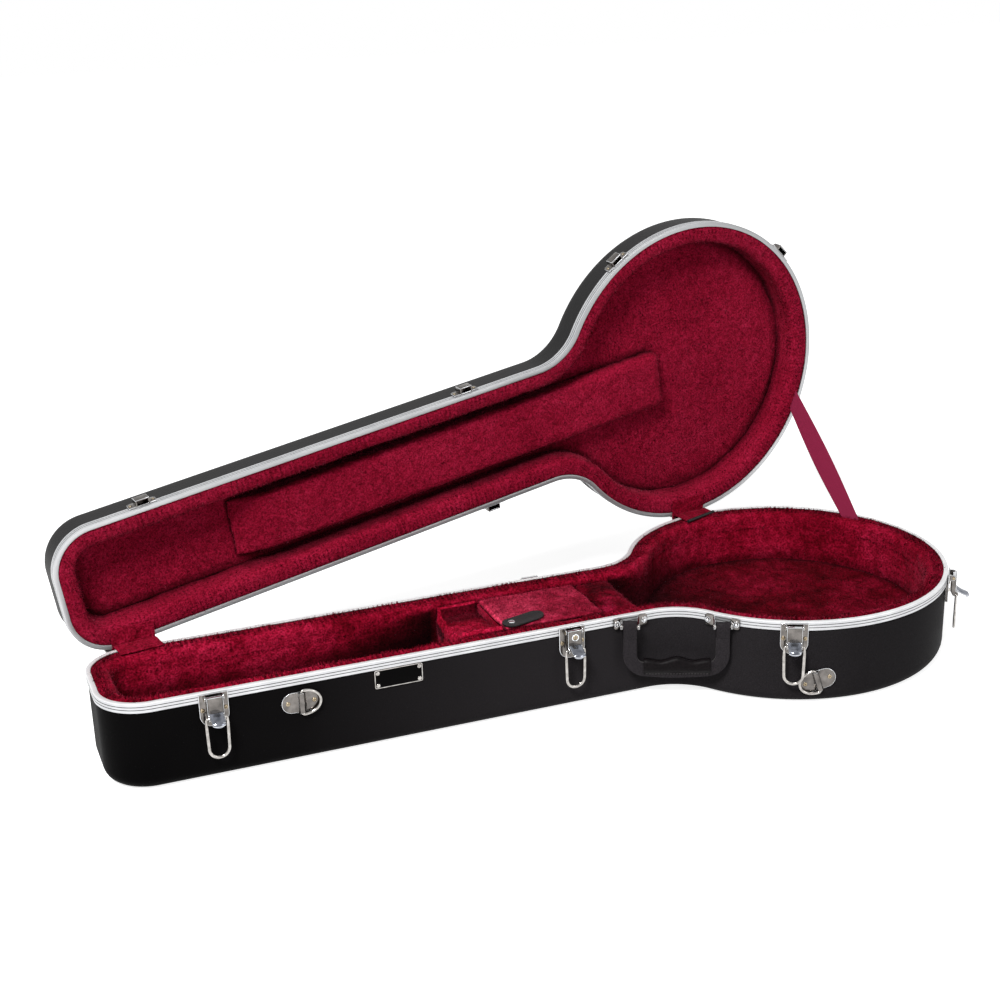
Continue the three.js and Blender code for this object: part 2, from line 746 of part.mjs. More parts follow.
function latchLever(frame, locked) {
  const half = leverHalfWidth;
  const face = leverOut - leverWall;
  const fold = leverFaceEnd - leverWall;
  const thumb = [
    [face, -fold], [leverOut, -fold], [thumbOut - leverWall, leverWall - thumbEnd], [thumbOut, -thumbEnd],
    [thumbOut - leverWall, -thumbEnd - thumbLip], [thumbOut - 2 * leverWall, -thumbEnd - thumbLip],
    [thumbOut - 2 * leverWall, -thumbEnd], [leverOut, -leverFaceEnd - leverWall], [face, -leverFaceEnd - leverWall],
  ];
  const pieces = [
    boxIn(frame, -half, half, face, leverOut, -leverFaceEnd, -leverTop),
    boxIn(frame, -half, half, leverPivotOut, leverOut, -leverTop - leverWall, -leverTop),
    barIn(frame, thumb, -thumbHalfWidth, thumbHalfWidth),
  ];
  [-1, 1].forEach((side) => {
    const edges = [side * (half - leverWall), side * half].sort((a, b) => a - b);
    const sideOutline = [
      [leverOut, -leverTop], [leverPivotOut - leverPivotRadius, -leverTop], [leverIn, -leverPivotDrop],
      [leverIn, -leverBackEnd], [leverHeel, -leverSideEnd], [bailPivotOut + bailWire, -leverSideEnd],
      [bailPivotOut + bailWire + leverWall, -bailPivotDrop + leverWall], [leverOut, -leverFaceEnd],
    ];
    pieces.push(barIn(frame, sideOutline, ...edges));
    const stub = [side * (half - leverWall / 2), side * (half + clearance + earWall)].sort((a, b) => a - b);
    pieces.push(pegIn(frame, leverPivotOut, -leverPivotDrop, leverPivotRadius, ...stub, 8));
  });
  if (locked) {
    const core = circlePoints(0, -lockDrop, lockRadius, 12);
    pieces.push(plateIn(frame, core, leverOut - leverWall / 2, leverOut + lockHeight));
  }
  const bore = pegIn(frame, bailPivotOut, -bailPivotDrop, bailWire + clearance, -half - overrun, half + overrun, 8);
  return cutAll(joinAll(pieces), [bore]);
}

function latchBail(frame) {
  const half = bailWidth / 2 - bailWire;
  const endCentre = bailWire + half - bailEnd;
  const elbow = -bailPivotDrop - bailElbow;
  const path = [
    [-bailStubStart, -bailPivotDrop], [bailElbow - half, -bailPivotDrop], [-half, elbow],
    ...arcPoints(0, endCentre, half, Math.PI, 4 * rightAngle, 6),
    [half, elbow], [half - bailElbow, -bailPivotDrop], [bailStubStart, -bailPivotDrop],
  ];
  return wireIn(frame, path, bailPivotOut, bailWire);
}

function lidCatch(frame) {
  const half = catchWidth / 2;
  const low = catchBottom + closingGap;
  const top = low + catchHeight;
  const hood = catchHoodHalfWidth;
  const plate = latchPlateThickness + clearance;
  const body = joinAll([
    boxIn(frame, -half, half, -overrun, plate, low, top),
    boxIn(frame, -hood, hood, 0, catchHoodOut, low, top),
  ]);
  const wall = catchWall;
  return cutAll(body, [
    boxIn(frame, wall - hood, hood - wall, plate, catchHoodOut - wall, low - overrun, top - wall),
  ]).subtract(seat);
}

function latchFrames() {
  return [
    frontFrame(neckLatchPlace), frontFrame(frontLatchBeforeWaist - waistCentreX),
    bodyFrame(bodyLatchAngles[0]), bodyFrame(bodyLatchAngles[1]),
    rearFrame(rearLatchBeforeWaist - waistCentreX),
  ];
}

function buildLatches() {
  latchFrames().forEach((frame, i) => {
    const number = i + 1;
    addNode(`latch_${number}_plate`, latchPlate(frame), "chrome");
    addNode(`latch_${number}_lever`, latchLever(frame, number === 2), "chrome");
    addNode(`latch_${number}_bail`, latchBail(frame), "chrome");
    addNode(`lid_catch_${number}`, opened(lidCatch(frame)), "chrome");
  });
}

// Ring brackets and rings
function ringFrames() {
  const first = frontFrame(neckRingPlace);
  first.origin.z -= neckRingDrop;
  const second = bodyFrame(bodyRingAngle);
  second.origin.z -= bodyRingDrop;
  const turn = bodyRingTilt + Math.PI;
  const along = second.along.clone().multiplyScalar(Math.cos(turn)).addScaledVector(second.up, Math.sin(turn));
  const up = second.out.clone().cross(along);
  return [first, { origin: second.origin, out: second.out, along, up }];
}

function ringBracket(frame) {
  const round = bracketHeight / 2;
  const reach = bracketLength / 2 - round;
  const outline = [
    ...arcPoints(reach, 0, round, -rightAngle, rightAngle, 6),
    ...arcPoints(-reach, 0, round, rightAngle, 3 * rightAngle, 6),
  ];
  const face = shellFace + bracketThickness;
  const barOut = face + clearance + ringWire;
  const top = barOut + ringWire + clearance + saddleWall;
  const side = saddleHalfWidth;
  const hump = [[-side, shellFace], [side, shellFace], [side, barOut], [side / 2, top], [-side / 2, top], [-side, barOut]];
  const saddle = loft([-round, round].map((up) => hump.map(([along, out]) => pointIn(frame, along, out, up))));
  const bore = circlePoints(0, barOut, ringWire + clearance, 8);
  const reachUp = round + overrun;
  const hole = loft([-reachUp, reachUp].map((up) => bore.map(([along, out]) => pointIn(frame, along, out, up))));
  const pieces = [plateIn(frame, outline, -overrun, face), saddle];
  [-1, 1].forEach((way) => {
    const place = (way * bracketRivetSpacing) / 2;
    pieces.push(studIn(frame, place, 0, bracketRivetRadius, shellFace, face + bracketRivetHeight));
  });
  return cutAll(joinAll(pieces), [hole]).subtract(seat);
}

function ring(frame) {
  const barOut = shellFace + bracketThickness + clearance + ringWire;
  const half = ringSpan / 2 - ringWire;
  const depth = ringDepth - 2 * ringWire;
  const path = arcPoints(0, 0, 1, -rightAngle, rightAngle, 10).map(([x, y]) => [depth * x, half * y]);
  return wireIn(frame, path, barOut, ringWire, true);
}

function buildRings() {
  ringFrames().forEach((frame, i) => {
    addNode(`ring_bracket_${i + 1}`, ringBracket(frame), "chrome");
    addNode(`d_ring_${i + 1}`, ring(frame), "chrome");
  });
}

function buildNameplate() {
  const frame = frontFrame(nameplatePlace);
  const half = nameplateWidth / 2;
  const tall = nameplateHeight / 2;
  const middle = -nameplateDrop - tall;
  const round = nameplateRound;
  const outline = [[1, 1], [-1, 1], [-1, -1], [1, -1]].flatMap(([x, y], quarter) => (
    arcPoints(x * (half - round), middle + y * (tall - round), round, quarter * rightAngle,
      (quarter + 1) * rightAngle, 2)
  ));
  const face = shellFace + nameplateThickness;
  const pieces = [plateIn(frame, outline, -overrun, face)];
  [[1, 1], [-1, 1], [-1, -1], [1, -1]].forEach(([x, y]) => {
    const along = x * (half - nameplateScrewInset);
    const up = middle + y * (tall - nameplateScrewInset);
    pieces.push(studIn(frame, along, up, nameplateScrewRadius, shellFace, face + nameplateScrewHeight));
  });
  addNode("nameplate", joinAll(pieces).subtract(seat), "nameplateFace");
}

// Carrying handle
// The handle reaches from the neck's wall to the wall of the round body
function handleFrame() {
  const origin = new THREE.Vector3(waistCentreX - handleBeforeWaist, -neckHalfWidth - rimWidth - handleNearStandoff, 0);
  const reach = strapSpan - strapStart;
  const far = bodyRadius + rimWidth + handleFarStandoff;
  const near = origin.length();
  const between = Math.acos((near ** 2 + far ** 2 - reach ** 2) / (2 * near * far));
  const farAngle = Math.atan2(origin.y, origin.x) + between;
  const end = new THREE.Vector3(far * Math.cos(farAngle), far * Math.sin(farAngle), 0);
  const along = end.sub(origin).normalize();
  return frameAt(origin.setZ(baseDepth), new THREE.Vector3(along.y, -along.x, 0));
}

function strapEdges() {
  const far = strapSpan - strapStart;
  return [[-strapStart, strapWidth - strapStart], [far - strapWidth, far]];
}

function handleStrap(frame) {
  const [[left, leftIn], [rightIn, right]] = strapEdges();
  const thick = strapThickness / 2;
  const round = strapRound;
  const soft = strapInnerRound;
  const neckLeft = leftIn + gripNearInset - clearance;
  const neckRight = rightIn - gripFarInset + clearance;
  const outline = [
    [left, -handleDrop],
    ...arcPoints(left + round, round - strapBottom, round, Math.PI, 3 * rightAngle, 5)
      .filter(([x]) => x < neckLeft),
    [neckLeft, -strapBottom], [neckLeft, -gripBarBottom], [neckRight, -gripBarBottom], [neckRight, -strapBottom],
    ...arcPoints(right - round, round - strapBottom, round, 3 * rightAngle, 4 * rightAngle, 5)
      .filter(([x]) => x > neckRight),
    [right, -handleDrop], [rightIn, -handleDrop],
    ...arcPoints(rightIn - soft, soft - gripBarTop, soft, 0, -rightAngle, 3),
    ...arcPoints(leftIn + soft, soft - gripBarTop, soft, 3 * rightAngle, Math.PI, 3),
    [leftIn, -handleDrop],
  ];
  const pieces = [plateIn(frame, outline, -thick, thick)];
  strapEdges().forEach((edges) => pieces.push(pegIn(frame, 0, -handleDrop, strapLoopRadius, ...edges, 12)));
  const bore = pegIn(frame, 0, -handleDrop, barRadius + clearance, -strapSpan, 2 * strapSpan);
  return cutAll(joinAll(pieces), [bore]);
}

function handleGrip(frame) {
  const half = gripThickness / 2;
  const [[, leftIn], [rightIn]] = strapEdges();
  const start = leftIn + gripNearInset;
  const end = rightIn - gripFarInset;
  const rings = gripWaveShares.map((share, i) => {
    const along = start + ((end - start) * i) / (gripWaveShares.length - 1);
    const top = gripWave * share - gripTop;
    const tall = top + gripBottom;
    return gripSectionShares.map(([out, up]) => pointIn(frame, along, half * out, up * tall - gripBottom));
  });
  const slot = strapThickness / 2 + clearance;
  return cutAll(solidOf(loft(rings)), [
    boxIn(frame, 0, strapSpan, -slot, slot, -gripBarBottom - clearance, -gripBarTop + clearance),
  ]);
}

// The place on the wall where an ear of the handle meets it
function frontRoot(frame, place, side) {
  const start = pointIn(frame, place, 0, 0);
  const walk = (-neckHalfWidth - rimWidth - start.y) / frame.out.y;
  return frontFrame(-start.x - walk * frame.out.x - side * bracketFootShift);
}

function bodyRoot(frame, place, side) {
  const start = pointIn(frame, place, 0, 0).setZ(0);
  const radius = bodyRadius + rimWidth;
  const ahead = start.dot(frame.out);
  const walk = Math.sqrt(ahead ** 2 - start.lengthSq() + radius ** 2) - ahead;
  start.addScaledVector(frame.out, walk);
  return bodyFrame(Math.atan2(start.y, start.x) + (side * bracketFootShift) / radius);
}

function handleFoot(frame, strap, side) {
  const half = bracketFootWidth / 2;
  const low = -bracketFootTop - bracketFootHeight;
  const [from, to] = strapEdges()[strap];
  const inner = side < 0 ? from - earGap : to + earGap;
  const edges = [inner, inner + side * earThickness].sort((a, b) => a - b);
  const middleOfEar = inner + (side * earThickness) / 2;
  const wall = strap === 0 ? frontRoot(frame, middleOfEar, side) : bodyRoot(frame, middleOfEar, side);
  const out = strapLoopRadius;
  const tip = barRadius + earThickness;
  const face = bracketFootThickness + clearance;
  const middle = low + bracketFootHeight / 2;
  const ear = [
    [-leafFootDepth, low], [0, -handleDrop - tip], [tip, -handleDrop - tip / 2], [tip, tip / 2 - handleDrop],
    [0, tip - handleDrop], [-leafFootDepth, -bracketFootTop],
  ];
  const body = joinAll([
    boxIn(wall, -half, half, -out, face, low, -bracketFootTop),
    barIn(frame, ear, ...edges),
    studIn(wall, side * half * footRivetShare, middle, handleRivetRadius, 0, face + handleRivetHeight, 10),
  ]);
  const bore = pegIn(frame, 0, -handleDrop, barRadius + clearance, -strapSpan, 2 * strapSpan);
  return cutAll(body, [bore]).subtract(seat);
}

function buildHandle() {
  const frame = handleFrame();
  addNode("handle_strap", handleStrap(frame), "strapLeather");
  addNode("handle_grip", handleGrip(frame), "gripLeather");
  strapEdges().forEach(([from, to], i) => {
    const reach = earGap + earThickness + barOverhang;
    addNode(`handle_bar_${i + 1}`, pegIn(frame, 0, -handleDrop, barRadius, from - reach, to + reach), "chrome");
  });
  [[0, -1], [0, 1], [1, -1], [1, 1]].forEach(([strap, side], i) => {
    addNode(`handle_bracket_${i + 1}`, handleFoot(frame, strap, side), "chrome");
  });
}

buildBase();
buildBlocks();
buildPullTab();
buildLid();
[-neckHingePlace, bodyHingePlace].forEach((place, i) => buildHinge(`hinge_${i + 1}`, place));
[-neckFlapPlace, bodyFlapPlace].forEach((place, i) => buildFlap(`hinge_flap_${i + 1}`, place));
buildRibbon();
buildLatches();
buildRings();
buildNameplate();
buildHandle();

export default group;
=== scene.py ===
# Banjo case standing open: every surface of the case, its plush and its fittings
import bpy
import bmesh
import math
import numpy as np
from mathutils import Matrix, Vector, noise
from mathutils.bvhtree import BVHTree


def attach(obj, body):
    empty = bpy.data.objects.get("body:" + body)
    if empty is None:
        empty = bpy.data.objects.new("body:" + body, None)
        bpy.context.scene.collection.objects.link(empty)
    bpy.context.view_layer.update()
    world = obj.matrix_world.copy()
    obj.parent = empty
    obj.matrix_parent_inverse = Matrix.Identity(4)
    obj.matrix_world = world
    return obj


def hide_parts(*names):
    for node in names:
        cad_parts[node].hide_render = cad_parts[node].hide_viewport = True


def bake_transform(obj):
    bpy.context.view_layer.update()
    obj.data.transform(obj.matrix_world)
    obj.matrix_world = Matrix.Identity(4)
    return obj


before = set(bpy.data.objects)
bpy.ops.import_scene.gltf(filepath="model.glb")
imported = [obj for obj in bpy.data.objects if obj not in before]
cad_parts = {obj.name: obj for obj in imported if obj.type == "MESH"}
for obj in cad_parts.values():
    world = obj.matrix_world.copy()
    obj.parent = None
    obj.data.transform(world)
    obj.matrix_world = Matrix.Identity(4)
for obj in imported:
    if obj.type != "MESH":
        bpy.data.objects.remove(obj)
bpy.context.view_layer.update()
mm = 0.001
noise.seed_set(7)  # the vector noise behind the nap would else differ with the clock


def addObject(name, data):
    thing = bpy.data.objects.new(name, data)
    bpy.context.scene.collection.objects.link(thing)
    return thing


def readItems(items, key, width=1, kind=float):
    values = np.empty(len(items) * width, kind)
    items.foreach_get(key, values)
    return values.reshape(-1, width) if width > 1 else values


def unit(rows):
    return rows / np.linalg.norm(rows, axis=1)[:, None]


# Where the photo was taken from
view = {"place": (-1.0055, -1.6566, 0.8566), "turn": -0.3734, "rise": 0.3648, "roll": -0.0243,
        "lens": 59.93, "shiftX": -0.0154, "shiftY": 0.0469}


def setCamera():
    turn, rise = view["turn"], view["rise"]
    back = Vector((math.sin(turn) * math.cos(rise), -math.cos(turn) * math.cos(rise), math.sin(rise)))
    right = Vector((0, 0, 1)).cross(back).normalized()
    up = back.cross(right)
    tiltedRight = right * math.cos(view["roll"]) + up * math.sin(view["roll"])
    tiltedUp = back.cross(tiltedRight)
    data = bpy.data.cameras.new("photoCamera")
    data.lens, data.sensor_width = view["lens"], 36
    data.shift_x, data.shift_y = view["shiftX"], view["shiftY"]
    data.clip_start, data.clip_end = 0.05, 50
    camera = addObject("photoCamera", data)
    rows = [[tiltedRight[i], tiltedUp[i], back[i], view["place"][i]] for i in range(3)]
    camera.matrix_world = Matrix(rows + [[0, 0, 0, 1]])
    bpy.context.scene.camera = camera


setCamera()
print("camera set")


# Materials
def newMaterial(name):
    material = bpy.data.materials.new(name)
    material.use_nodes = True
    tree = material.node_tree
    where = tree.nodes.new("ShaderNodeTexCoord").outputs["Object"]
    return material, tree, where, tree.nodes["Principled BSDF"]


def setInputs(tree, node, inputs):
    for name, value in inputs.items():
        if isinstance(value, bpy.types.NodeSocket):
            tree.links.new(value, node.inputs[name])
        else:
            node.inputs[name].default_value = (*value, 1) if isinstance(value, tuple) else value


def noiseNode(tree, where, scale, detail=3, distortion=0.0):
    made = tree.nodes.new("ShaderNodeTexNoise")
    setInputs(tree, made, {"Vector": where, "Scale": scale, "Detail": detail, "Distortion": distortion})
    return made.outputs["Fac"]


def cellNode(tree, where, scale):
    made = tree.nodes.new("ShaderNodeTexVoronoi")
    setInputs(tree, made, {"Vector": where, "Scale": scale})
    return made.outputs["Distance"]


def rampNode(tree, value, stops):
    ramp = tree.nodes.new("ShaderNodeValToRGB")
    while len(ramp.color_ramp.elements) < len(stops):
        ramp.color_ramp.elements.new(0.5)
    for element, (spot, colour) in zip(ramp.color_ramp.elements, stops):
        element.position = spot
        element.color = (*colour, 1)
    setInputs(tree, ramp, {"Fac": value})
    return ramp.outputs["Color"]


def bumpNode(tree, height, strength, distance, before=None):
    bump = tree.nodes.new("ShaderNodeBump")
    setInputs(tree, bump, {"Strength": strength, "Distance": distance, "Height": height})
    if before:
        setInputs(tree, bump, {"Normal": before})
    return bump.outputs["Normal"]


def mixNode(tree, first, second, mode="MULTIPLY"):
    mix = tree.nodes.new("ShaderNodeMix")
    mix.data_type, mix.blend_type = "RGBA", mode
    setInputs(tree, mix, {"Factor": 1.0, "A": first, "B": second})
    return mix.outputs["Result"]


def rangeNode(tree, value, low, high, start=0.0, end=1.0):
    made = tree.nodes.new("ShaderNodeMapRange")
    setInputs(tree, made, {"Value": value, "To Min": low, "To Max": high, "From Min": start, "From Max": end})
    return made.outputs["Result"]


def mathNode(tree, operation, *values):
    made = tree.nodes.new("ShaderNodeMath")
    made.operation = operation
    setInputs(tree, made, dict(enumerate(values)))
    return made.outputs[0]


plushSurface = {"edges": (0.36, 0.52, 0.68), "groundEdges": (0.36, 0.5, 0.66), "clumpDepth": 0.004, "pileBump": 0.8,
                "pileDepth": 0.0016, "roughness": 0.95, "specular": 0.04, "sheenRoughness": 0.35,
                "sheenTint": (1.0, 0.12, 0.22)}


def plushMaterial(name, look, fur):
    material, tree, where, shader = newMaterial(name)
    patches = noiseNode(tree, where, look["patchScale"], 3, 0.4)
    clumps = noiseNode(tree, where, look["clumpScale"], 3, 0.5)
    pile = noiseNode(tree, where, look["pileScale"], 3)
    ground = zip(plushSurface["groundEdges"], (look["deep"], look["middle"], look["bright"]))
    colour = rampNode(tree, patches, list(ground))
    for spots, part in ((clumps, "clump"), (pile, "pile")):
        tints = zip(plushSurface["edges"], (look[part + "Dark"], (1, 1, 1), look[part + "Light"]))
        colour = mixNode(tree, colour, rampNode(tree, spots, list(tints)))
    # painted shade: the colour is multiplied by the pileShade attribute, darkened in creases, deep corners and at tuft
    # roots, with painted highlights above one on some edges
    pileShade = tree.nodes.new("ShaderNodeVertexColor")  # darker in creases and at the root of each tuft
    pileShade.layer_name = "pileShade"
    setInputs(tree, shader, {
        "Base Color": mixNode(tree, colour, pileShade.outputs["Color"]), "Roughness": plushSurface["roughness"],
        "Specular IOR Level": plushSurface["specular"], "Sheen Weight": look["sheen"],
        "Sheen Roughness": plushSurface["sheenRoughness"], "Sheen Tint": plushSurface["sheenTint"]})
    if not fur:
        first = bumpNode(tree, clumps, look["clumpBump"], plushSurface["clumpDepth"])
        bump = bumpNode(tree, pile, plushSurface["pileBump"], plushSurface["pileDepth"], first)
        setInputs(tree, shader, {"Normal": bump})
    return material


def grainedPlastic(name, grainScale, grain, dark, light, gloss, specular, paintedSheen=()):
    material, tree, where, shader = newMaterial(name)
    fine = noiseNode(tree, where, grainScale * 1.7, 4)
    haze = noiseNode(tree, where, 7, 3)
    colour = rampNode(tree, haze, [(0.3, dark), (0.7, light)])
    # painted sheen: the plastic lighter through the middle of the case's length, darkest at the neck end, with a fine
    # speckle
    if paintedSheen:  # shares of painted sheen from the neck end to the body end
        split = tree.nodes.new("ShaderNodeSeparateXYZ")
        tree.links.new(where, split.inputs[0])
        amount = rampNode(tree, rangeNode(tree, split.outputs["X"], 0, 1, -0.85, 0.2), paintedSheen)
        speckle = rampNode(tree, fine, [(0.3, (0.6, 0.6, 0.6)), (0.7, (1.35, 1.32, 1.35))])
        colour = mixNode(tree, colour, mixNode(tree, amount, speckle), "ADD")
    first = bumpNode(tree, cellNode(tree, where, grainScale), grain, 0.0004)
    setInputs(tree, shader, {
        "Base Color": colour, "Normal": bumpNode(tree, fine, grain, 0.0003, first),
        "Roughness": rangeNode(tree, haze, gloss - 0.05, gloss + 0.06), "Specular IOR Level": specular})
    return material


def metalMaterial(name, wearAndShadeScale, dark, light, gloss, spread, bump, metal=1.0):
    material, tree, where, shader = newMaterial(name)
    # the noise is wear at small scales; at the lid rim top's broad scale it spreads painted light and shade along the
    # rim
    wearAndShade = noiseNode(tree, where, wearAndShadeScale, 4)
    setInputs(tree, shader, {
        "Base Color": rampNode(tree, wearAndShade, [(0.3, dark), (0.7, light)]), "Metallic": metal,
        "Roughness": rangeNode(tree, wearAndShade, gloss, gloss + spread), "Normal": bumpNode(tree, wearAndShade, bump, 0.0002)})
    return material


def leatherMaterial(name, grainScale, grain, dark, light, gloss, specular):
    material, tree, where, shader = newMaterial(name)
    cells = cellNode(tree, where, grainScale)
    creases = noiseNode(tree, where, grainScale * 0.2, 4)
    first = bumpNode(tree, cells, grain, 0.0003)
    setInputs(tree, shader, {
        "Base Color": rampNode(tree, cells, [(0.1, dark), (0.7, light)]),
        "Normal": bumpNode(tree, creases, 0.3, 0.0006, first),
        "Roughness": rangeNode(tree, creases, gloss, gloss + 0.15), "Specular IOR Level": specular})
    return material


def ribbonMaterial(name, weaveScale, dark, light):
    material, tree, where, shader = newMaterial(name)
    wave = tree.nodes.new("ShaderNodeTexWave")
    wave.bands_direction = "Z"
    setInputs(tree, wave, {"Vector": where, "Scale": weaveScale, "Distortion": 1.2})
    threads = wave.outputs["Fac"]
    setInputs(tree, shader, {
        "Base Color": rampNode(tree, threads, [(0.2, dark), (0.8, light)]), "Roughness": 0.75,
        "Normal": bumpNode(tree, threads, 0.5, 0.0003), "Specular IOR Level": 0.2, "Sheen Weight": 0.15})
    return material


plushLooks = {
    "plush": {"patchScale": 12, "clumpScale": 85, "pileScale": 420, "sheen": 0.16, "clumpBump": 0.7,
              "deep": (0.19, 0.0018, 0.0125), "middle": (0.26, 0.0032, 0.0195), "bright": (0.34, 0.0065, 0.032),
              "clumpDark": (0.66, 0.5, 0.56), "clumpLight": (1.2, 1.6, 1.4), "pileDark": (0.5, 0.35, 0.42),
              "pileLight": (1.35, 1.9, 1.6)},
    "lidPlush": {"patchScale": 9, "clumpScale": 110, "pileScale": 480, "sheen": 0.18, "clumpBump": 0.35,
                 "deep": (0.235, 0.0045, 0.022), "middle": (0.27, 0.006, 0.027), "bright": (0.31, 0.0085, 0.034),
                 "clumpDark": (0.86, 0.78, 0.8), "clumpLight": (1.1, 1.25, 1.2), "pileDark": (0.56, 0.42, 0.48),
                 "pileLight": (1.3, 1.7, 1.5)},
    "coverPlush": {"patchScale": 14, "clumpScale": 80, "sheen": 0.2, "clumpBump": 0.6,
                   "deep": (0.26, 0.008, 0.028), "middle": (0.38, 0.017, 0.05), "bright": (0.49, 0.032, 0.078),
                   "clumpDark": (0.6, 0.5, 0.55), "clumpLight": (1.25, 1.6, 1.45), "pileDark": (0.6, 0.5, 0.55),
                   "pileLight": (1.3, 1.6, 1.45)},
    # the well's floor in a darker copy of the plush: painted shade of the deep well
    "floorPlush": {"patchScale": 15, "clumpScale": 60, "sheen": 0.1, "clumpBump": 0.6,
                   "deep": (0.06, 0.0004, 0.0025), "middle": (0.125, 0.0009, 0.007), "bright": (0.2, 0.0028, 0.016),
                   "clumpDark": (0.6, 0.44, 0.5), "clumpLight": (1.25, 1.7, 1.5)},
    "heelPlush": {"patchScale": 17, "clumpScale": 64, "sheen": 0.12,
                  "deep": (0.07, 0.0006, 0.004), "middle": (0.16, 0.0018, 0.0115), "bright": (0.27, 0.006, 0.03),
                  "clumpDark": (0.4, 0.3, 0.34), "clumpLight": (1.4, 2.0, 1.7)},
}
# one black plastic in a shaded and a lit copy: the base darkened as painted shade, the lid lighter as painted sheen
plastics = {  # scale and depth of the grain, dark and light colour, roughness, specular, and painted sheen along the case
    "base": ("baseShellPlastic", 620, 0.35, (0.0012, 0.0011, 0.0012), (0.0026, 0.0024, 0.0025), 0.5, 0.01,
             [(0.0, (0.0, 0.0, 0.0)), (0.2, (0.002, 0.0018, 0.0019)), (0.42, (0.014, 0.0127, 0.0135)),
              (0.64, (0.019, 0.0172, 0.0185)), (0.8, (0.0115, 0.0105, 0.0112)), (1.0, (0.0105, 0.01, 0.0105))]),
    "lid": ("lidShellPlastic", 620, 0.4, (0.005, 0.0048, 0.005), (0.01, 0.0095, 0.0096), 0.55, 0.2),
    "nameplate": ("nameplateFace", 1500, 0.04, (0.001, 0.0009, 0.001), (0.0022, 0.002, 0.0021), 0.35, 0.02),
}
# one chrome plating in lit and shaded copies: chrome darkened as painted shade, bright a painted highlight on edges,
# folds and domes, lever a painted bluish reflection, wire a dimmer copy as painted shade; rimTop is a painted highlight
# on the base rim's top, lidRimTop and groove are painted shade
metals = {  # scale of the wear and painted shade, dark and light colour, roughness and how far it spreads, bump, and share of metal
    "rim": ("rimAluminium", 40, (0.5, 0.505, 0.52), (0.62, 0.625, 0.635), 0.34, 0.14, 0.05, 0.65),
    "rimTop": ("rimTopAluminium", 40, (0.76, 0.765, 0.775), (0.88, 0.885, 0.89), 0.34, 0.14, 0.05, 0.3),
    "lidRimTop": ("lidRimTopAluminium", 3.2, (0.3, 0.305, 0.31), (0.55, 0.555, 0.565), 0.32, 0.14, 0.05, 0.75),
    "groove": ("rimGrooveAluminium", 60, (0.07, 0.07, 0.072), (0.13, 0.13, 0.135), 0.4, 0.2, 0.1),
    "chrome": ("chromePlate", 110, (0.09, 0.083, 0.078), (0.19, 0.176, 0.165), 0.12, 0.12, 0.06),
    "bright": ("brightChrome", 160, (0.6, 0.61, 0.63), (0.78, 0.79, 0.81), 0.07, 0.08, 0.03),
    "lever": ("leverChrome", 130, (0.1, 0.107, 0.128), (0.27, 0.285, 0.325), 0.08, 0.12, 0.05),
    "wire": ("bailWireChrome", 190, (0.25, 0.235, 0.22), (0.46, 0.44, 0.42), 0.08, 0.1, 0.05),
    "brass": ("brassRivet", 300, (0.2, 0.155, 0.1), (0.36, 0.3, 0.21), 0.18, 0.15, 0.08),
}
leathers = {  # scale and depth of the grain, dark and light colour, roughness, specular
    "strap": ("strapLeather", 700, 0.5, (0.009, 0.0078, 0.0088), (0.022, 0.0188, 0.0212), 0.6, 0.08),
    "strapEdge": ("strapEdgeLeather", 500, 0.2, (0.03, 0.027, 0.028), (0.06, 0.055, 0.056), 0.45, 0.3),
    "grip": ("gripLeather", 380, 0.35, (0.002, 0.0015, 0.0018), (0.0055, 0.004, 0.0046), 0.38, 0.06),
    "tab": ("tabLeather", 420, 0.4, (0.004, 0.004, 0.0045), (0.011, 0.0105, 0.011), 0.45, 0.35),
}
finish = {"ribbon": ribbonMaterial("ribbonCloth", 330, (0.16, 0.004, 0.028), (0.29, 0.012, 0.06))}
for makeMaterial, rows in ((grainedPlastic, plastics), (metalMaterial, metals), (leatherMaterial, leathers)):
    for finishName, row in rows.items():
        finish[finishName] = makeMaterial(*row)
for plushName, plushLook in plushLooks.items():
    wholeLook = {**plushLooks["plush"], **plushLook}
    finish[plushName] = plushMaterial(plushName + "Pile", wholeLook, False)
    finish[plushName + "Fur"] = plushMaterial(plushName + "Tufts", wholeLook, True)
print("materials made")

# Outline of the case in plan, in millimetres, on the inside of the rim
case = {"bodyRadius": 190, "neckHalfWidth": 71, "neckEnd": 840, "cornerRadius": 47, "waistRadius": 72.5,
        "baseDepth": 103, "lidDepth": 51, "closingGap": 0.6, "rimWidth": 5.5, "rimSkirt": 10.6,
        "baseRound": 15.9, "lidRound": 14, "shellWall": 2.5, "shellOut": 4.0,
        "bodySteps": 168, "waistSteps": 24, "cornerSteps": 22, "neckSteps": 96, "endSteps": 10}
hinge = {"standoff": 4.3, "cornerStandoff": 3.2, "drop": 9, "openAngle": math.radians(87.1)}
waistY = case["neckHalfWidth"] + case["waistRadius"]
waistX = -math.sqrt((case["bodyRadius"] + case["waistRadius"]) ** 2 - waistY ** 2)
bodyAngle = math.pi - math.atan2(waistY, -waistX)
outside = case["bodyRadius"] + case["rimWidth"]


def arc(x, y, radius, start, end, steps):
    angles = np.linspace(start, end, steps + 1)
    return np.stack([x + radius * np.cos(angles), y + radius * np.sin(angles)], 1)


def line(start, end, steps):
    shares = np.linspace(0, 1, steps + 1)[1:-1, None]
    return np.array(start) * (1 - shares) + np.array(end) * shares


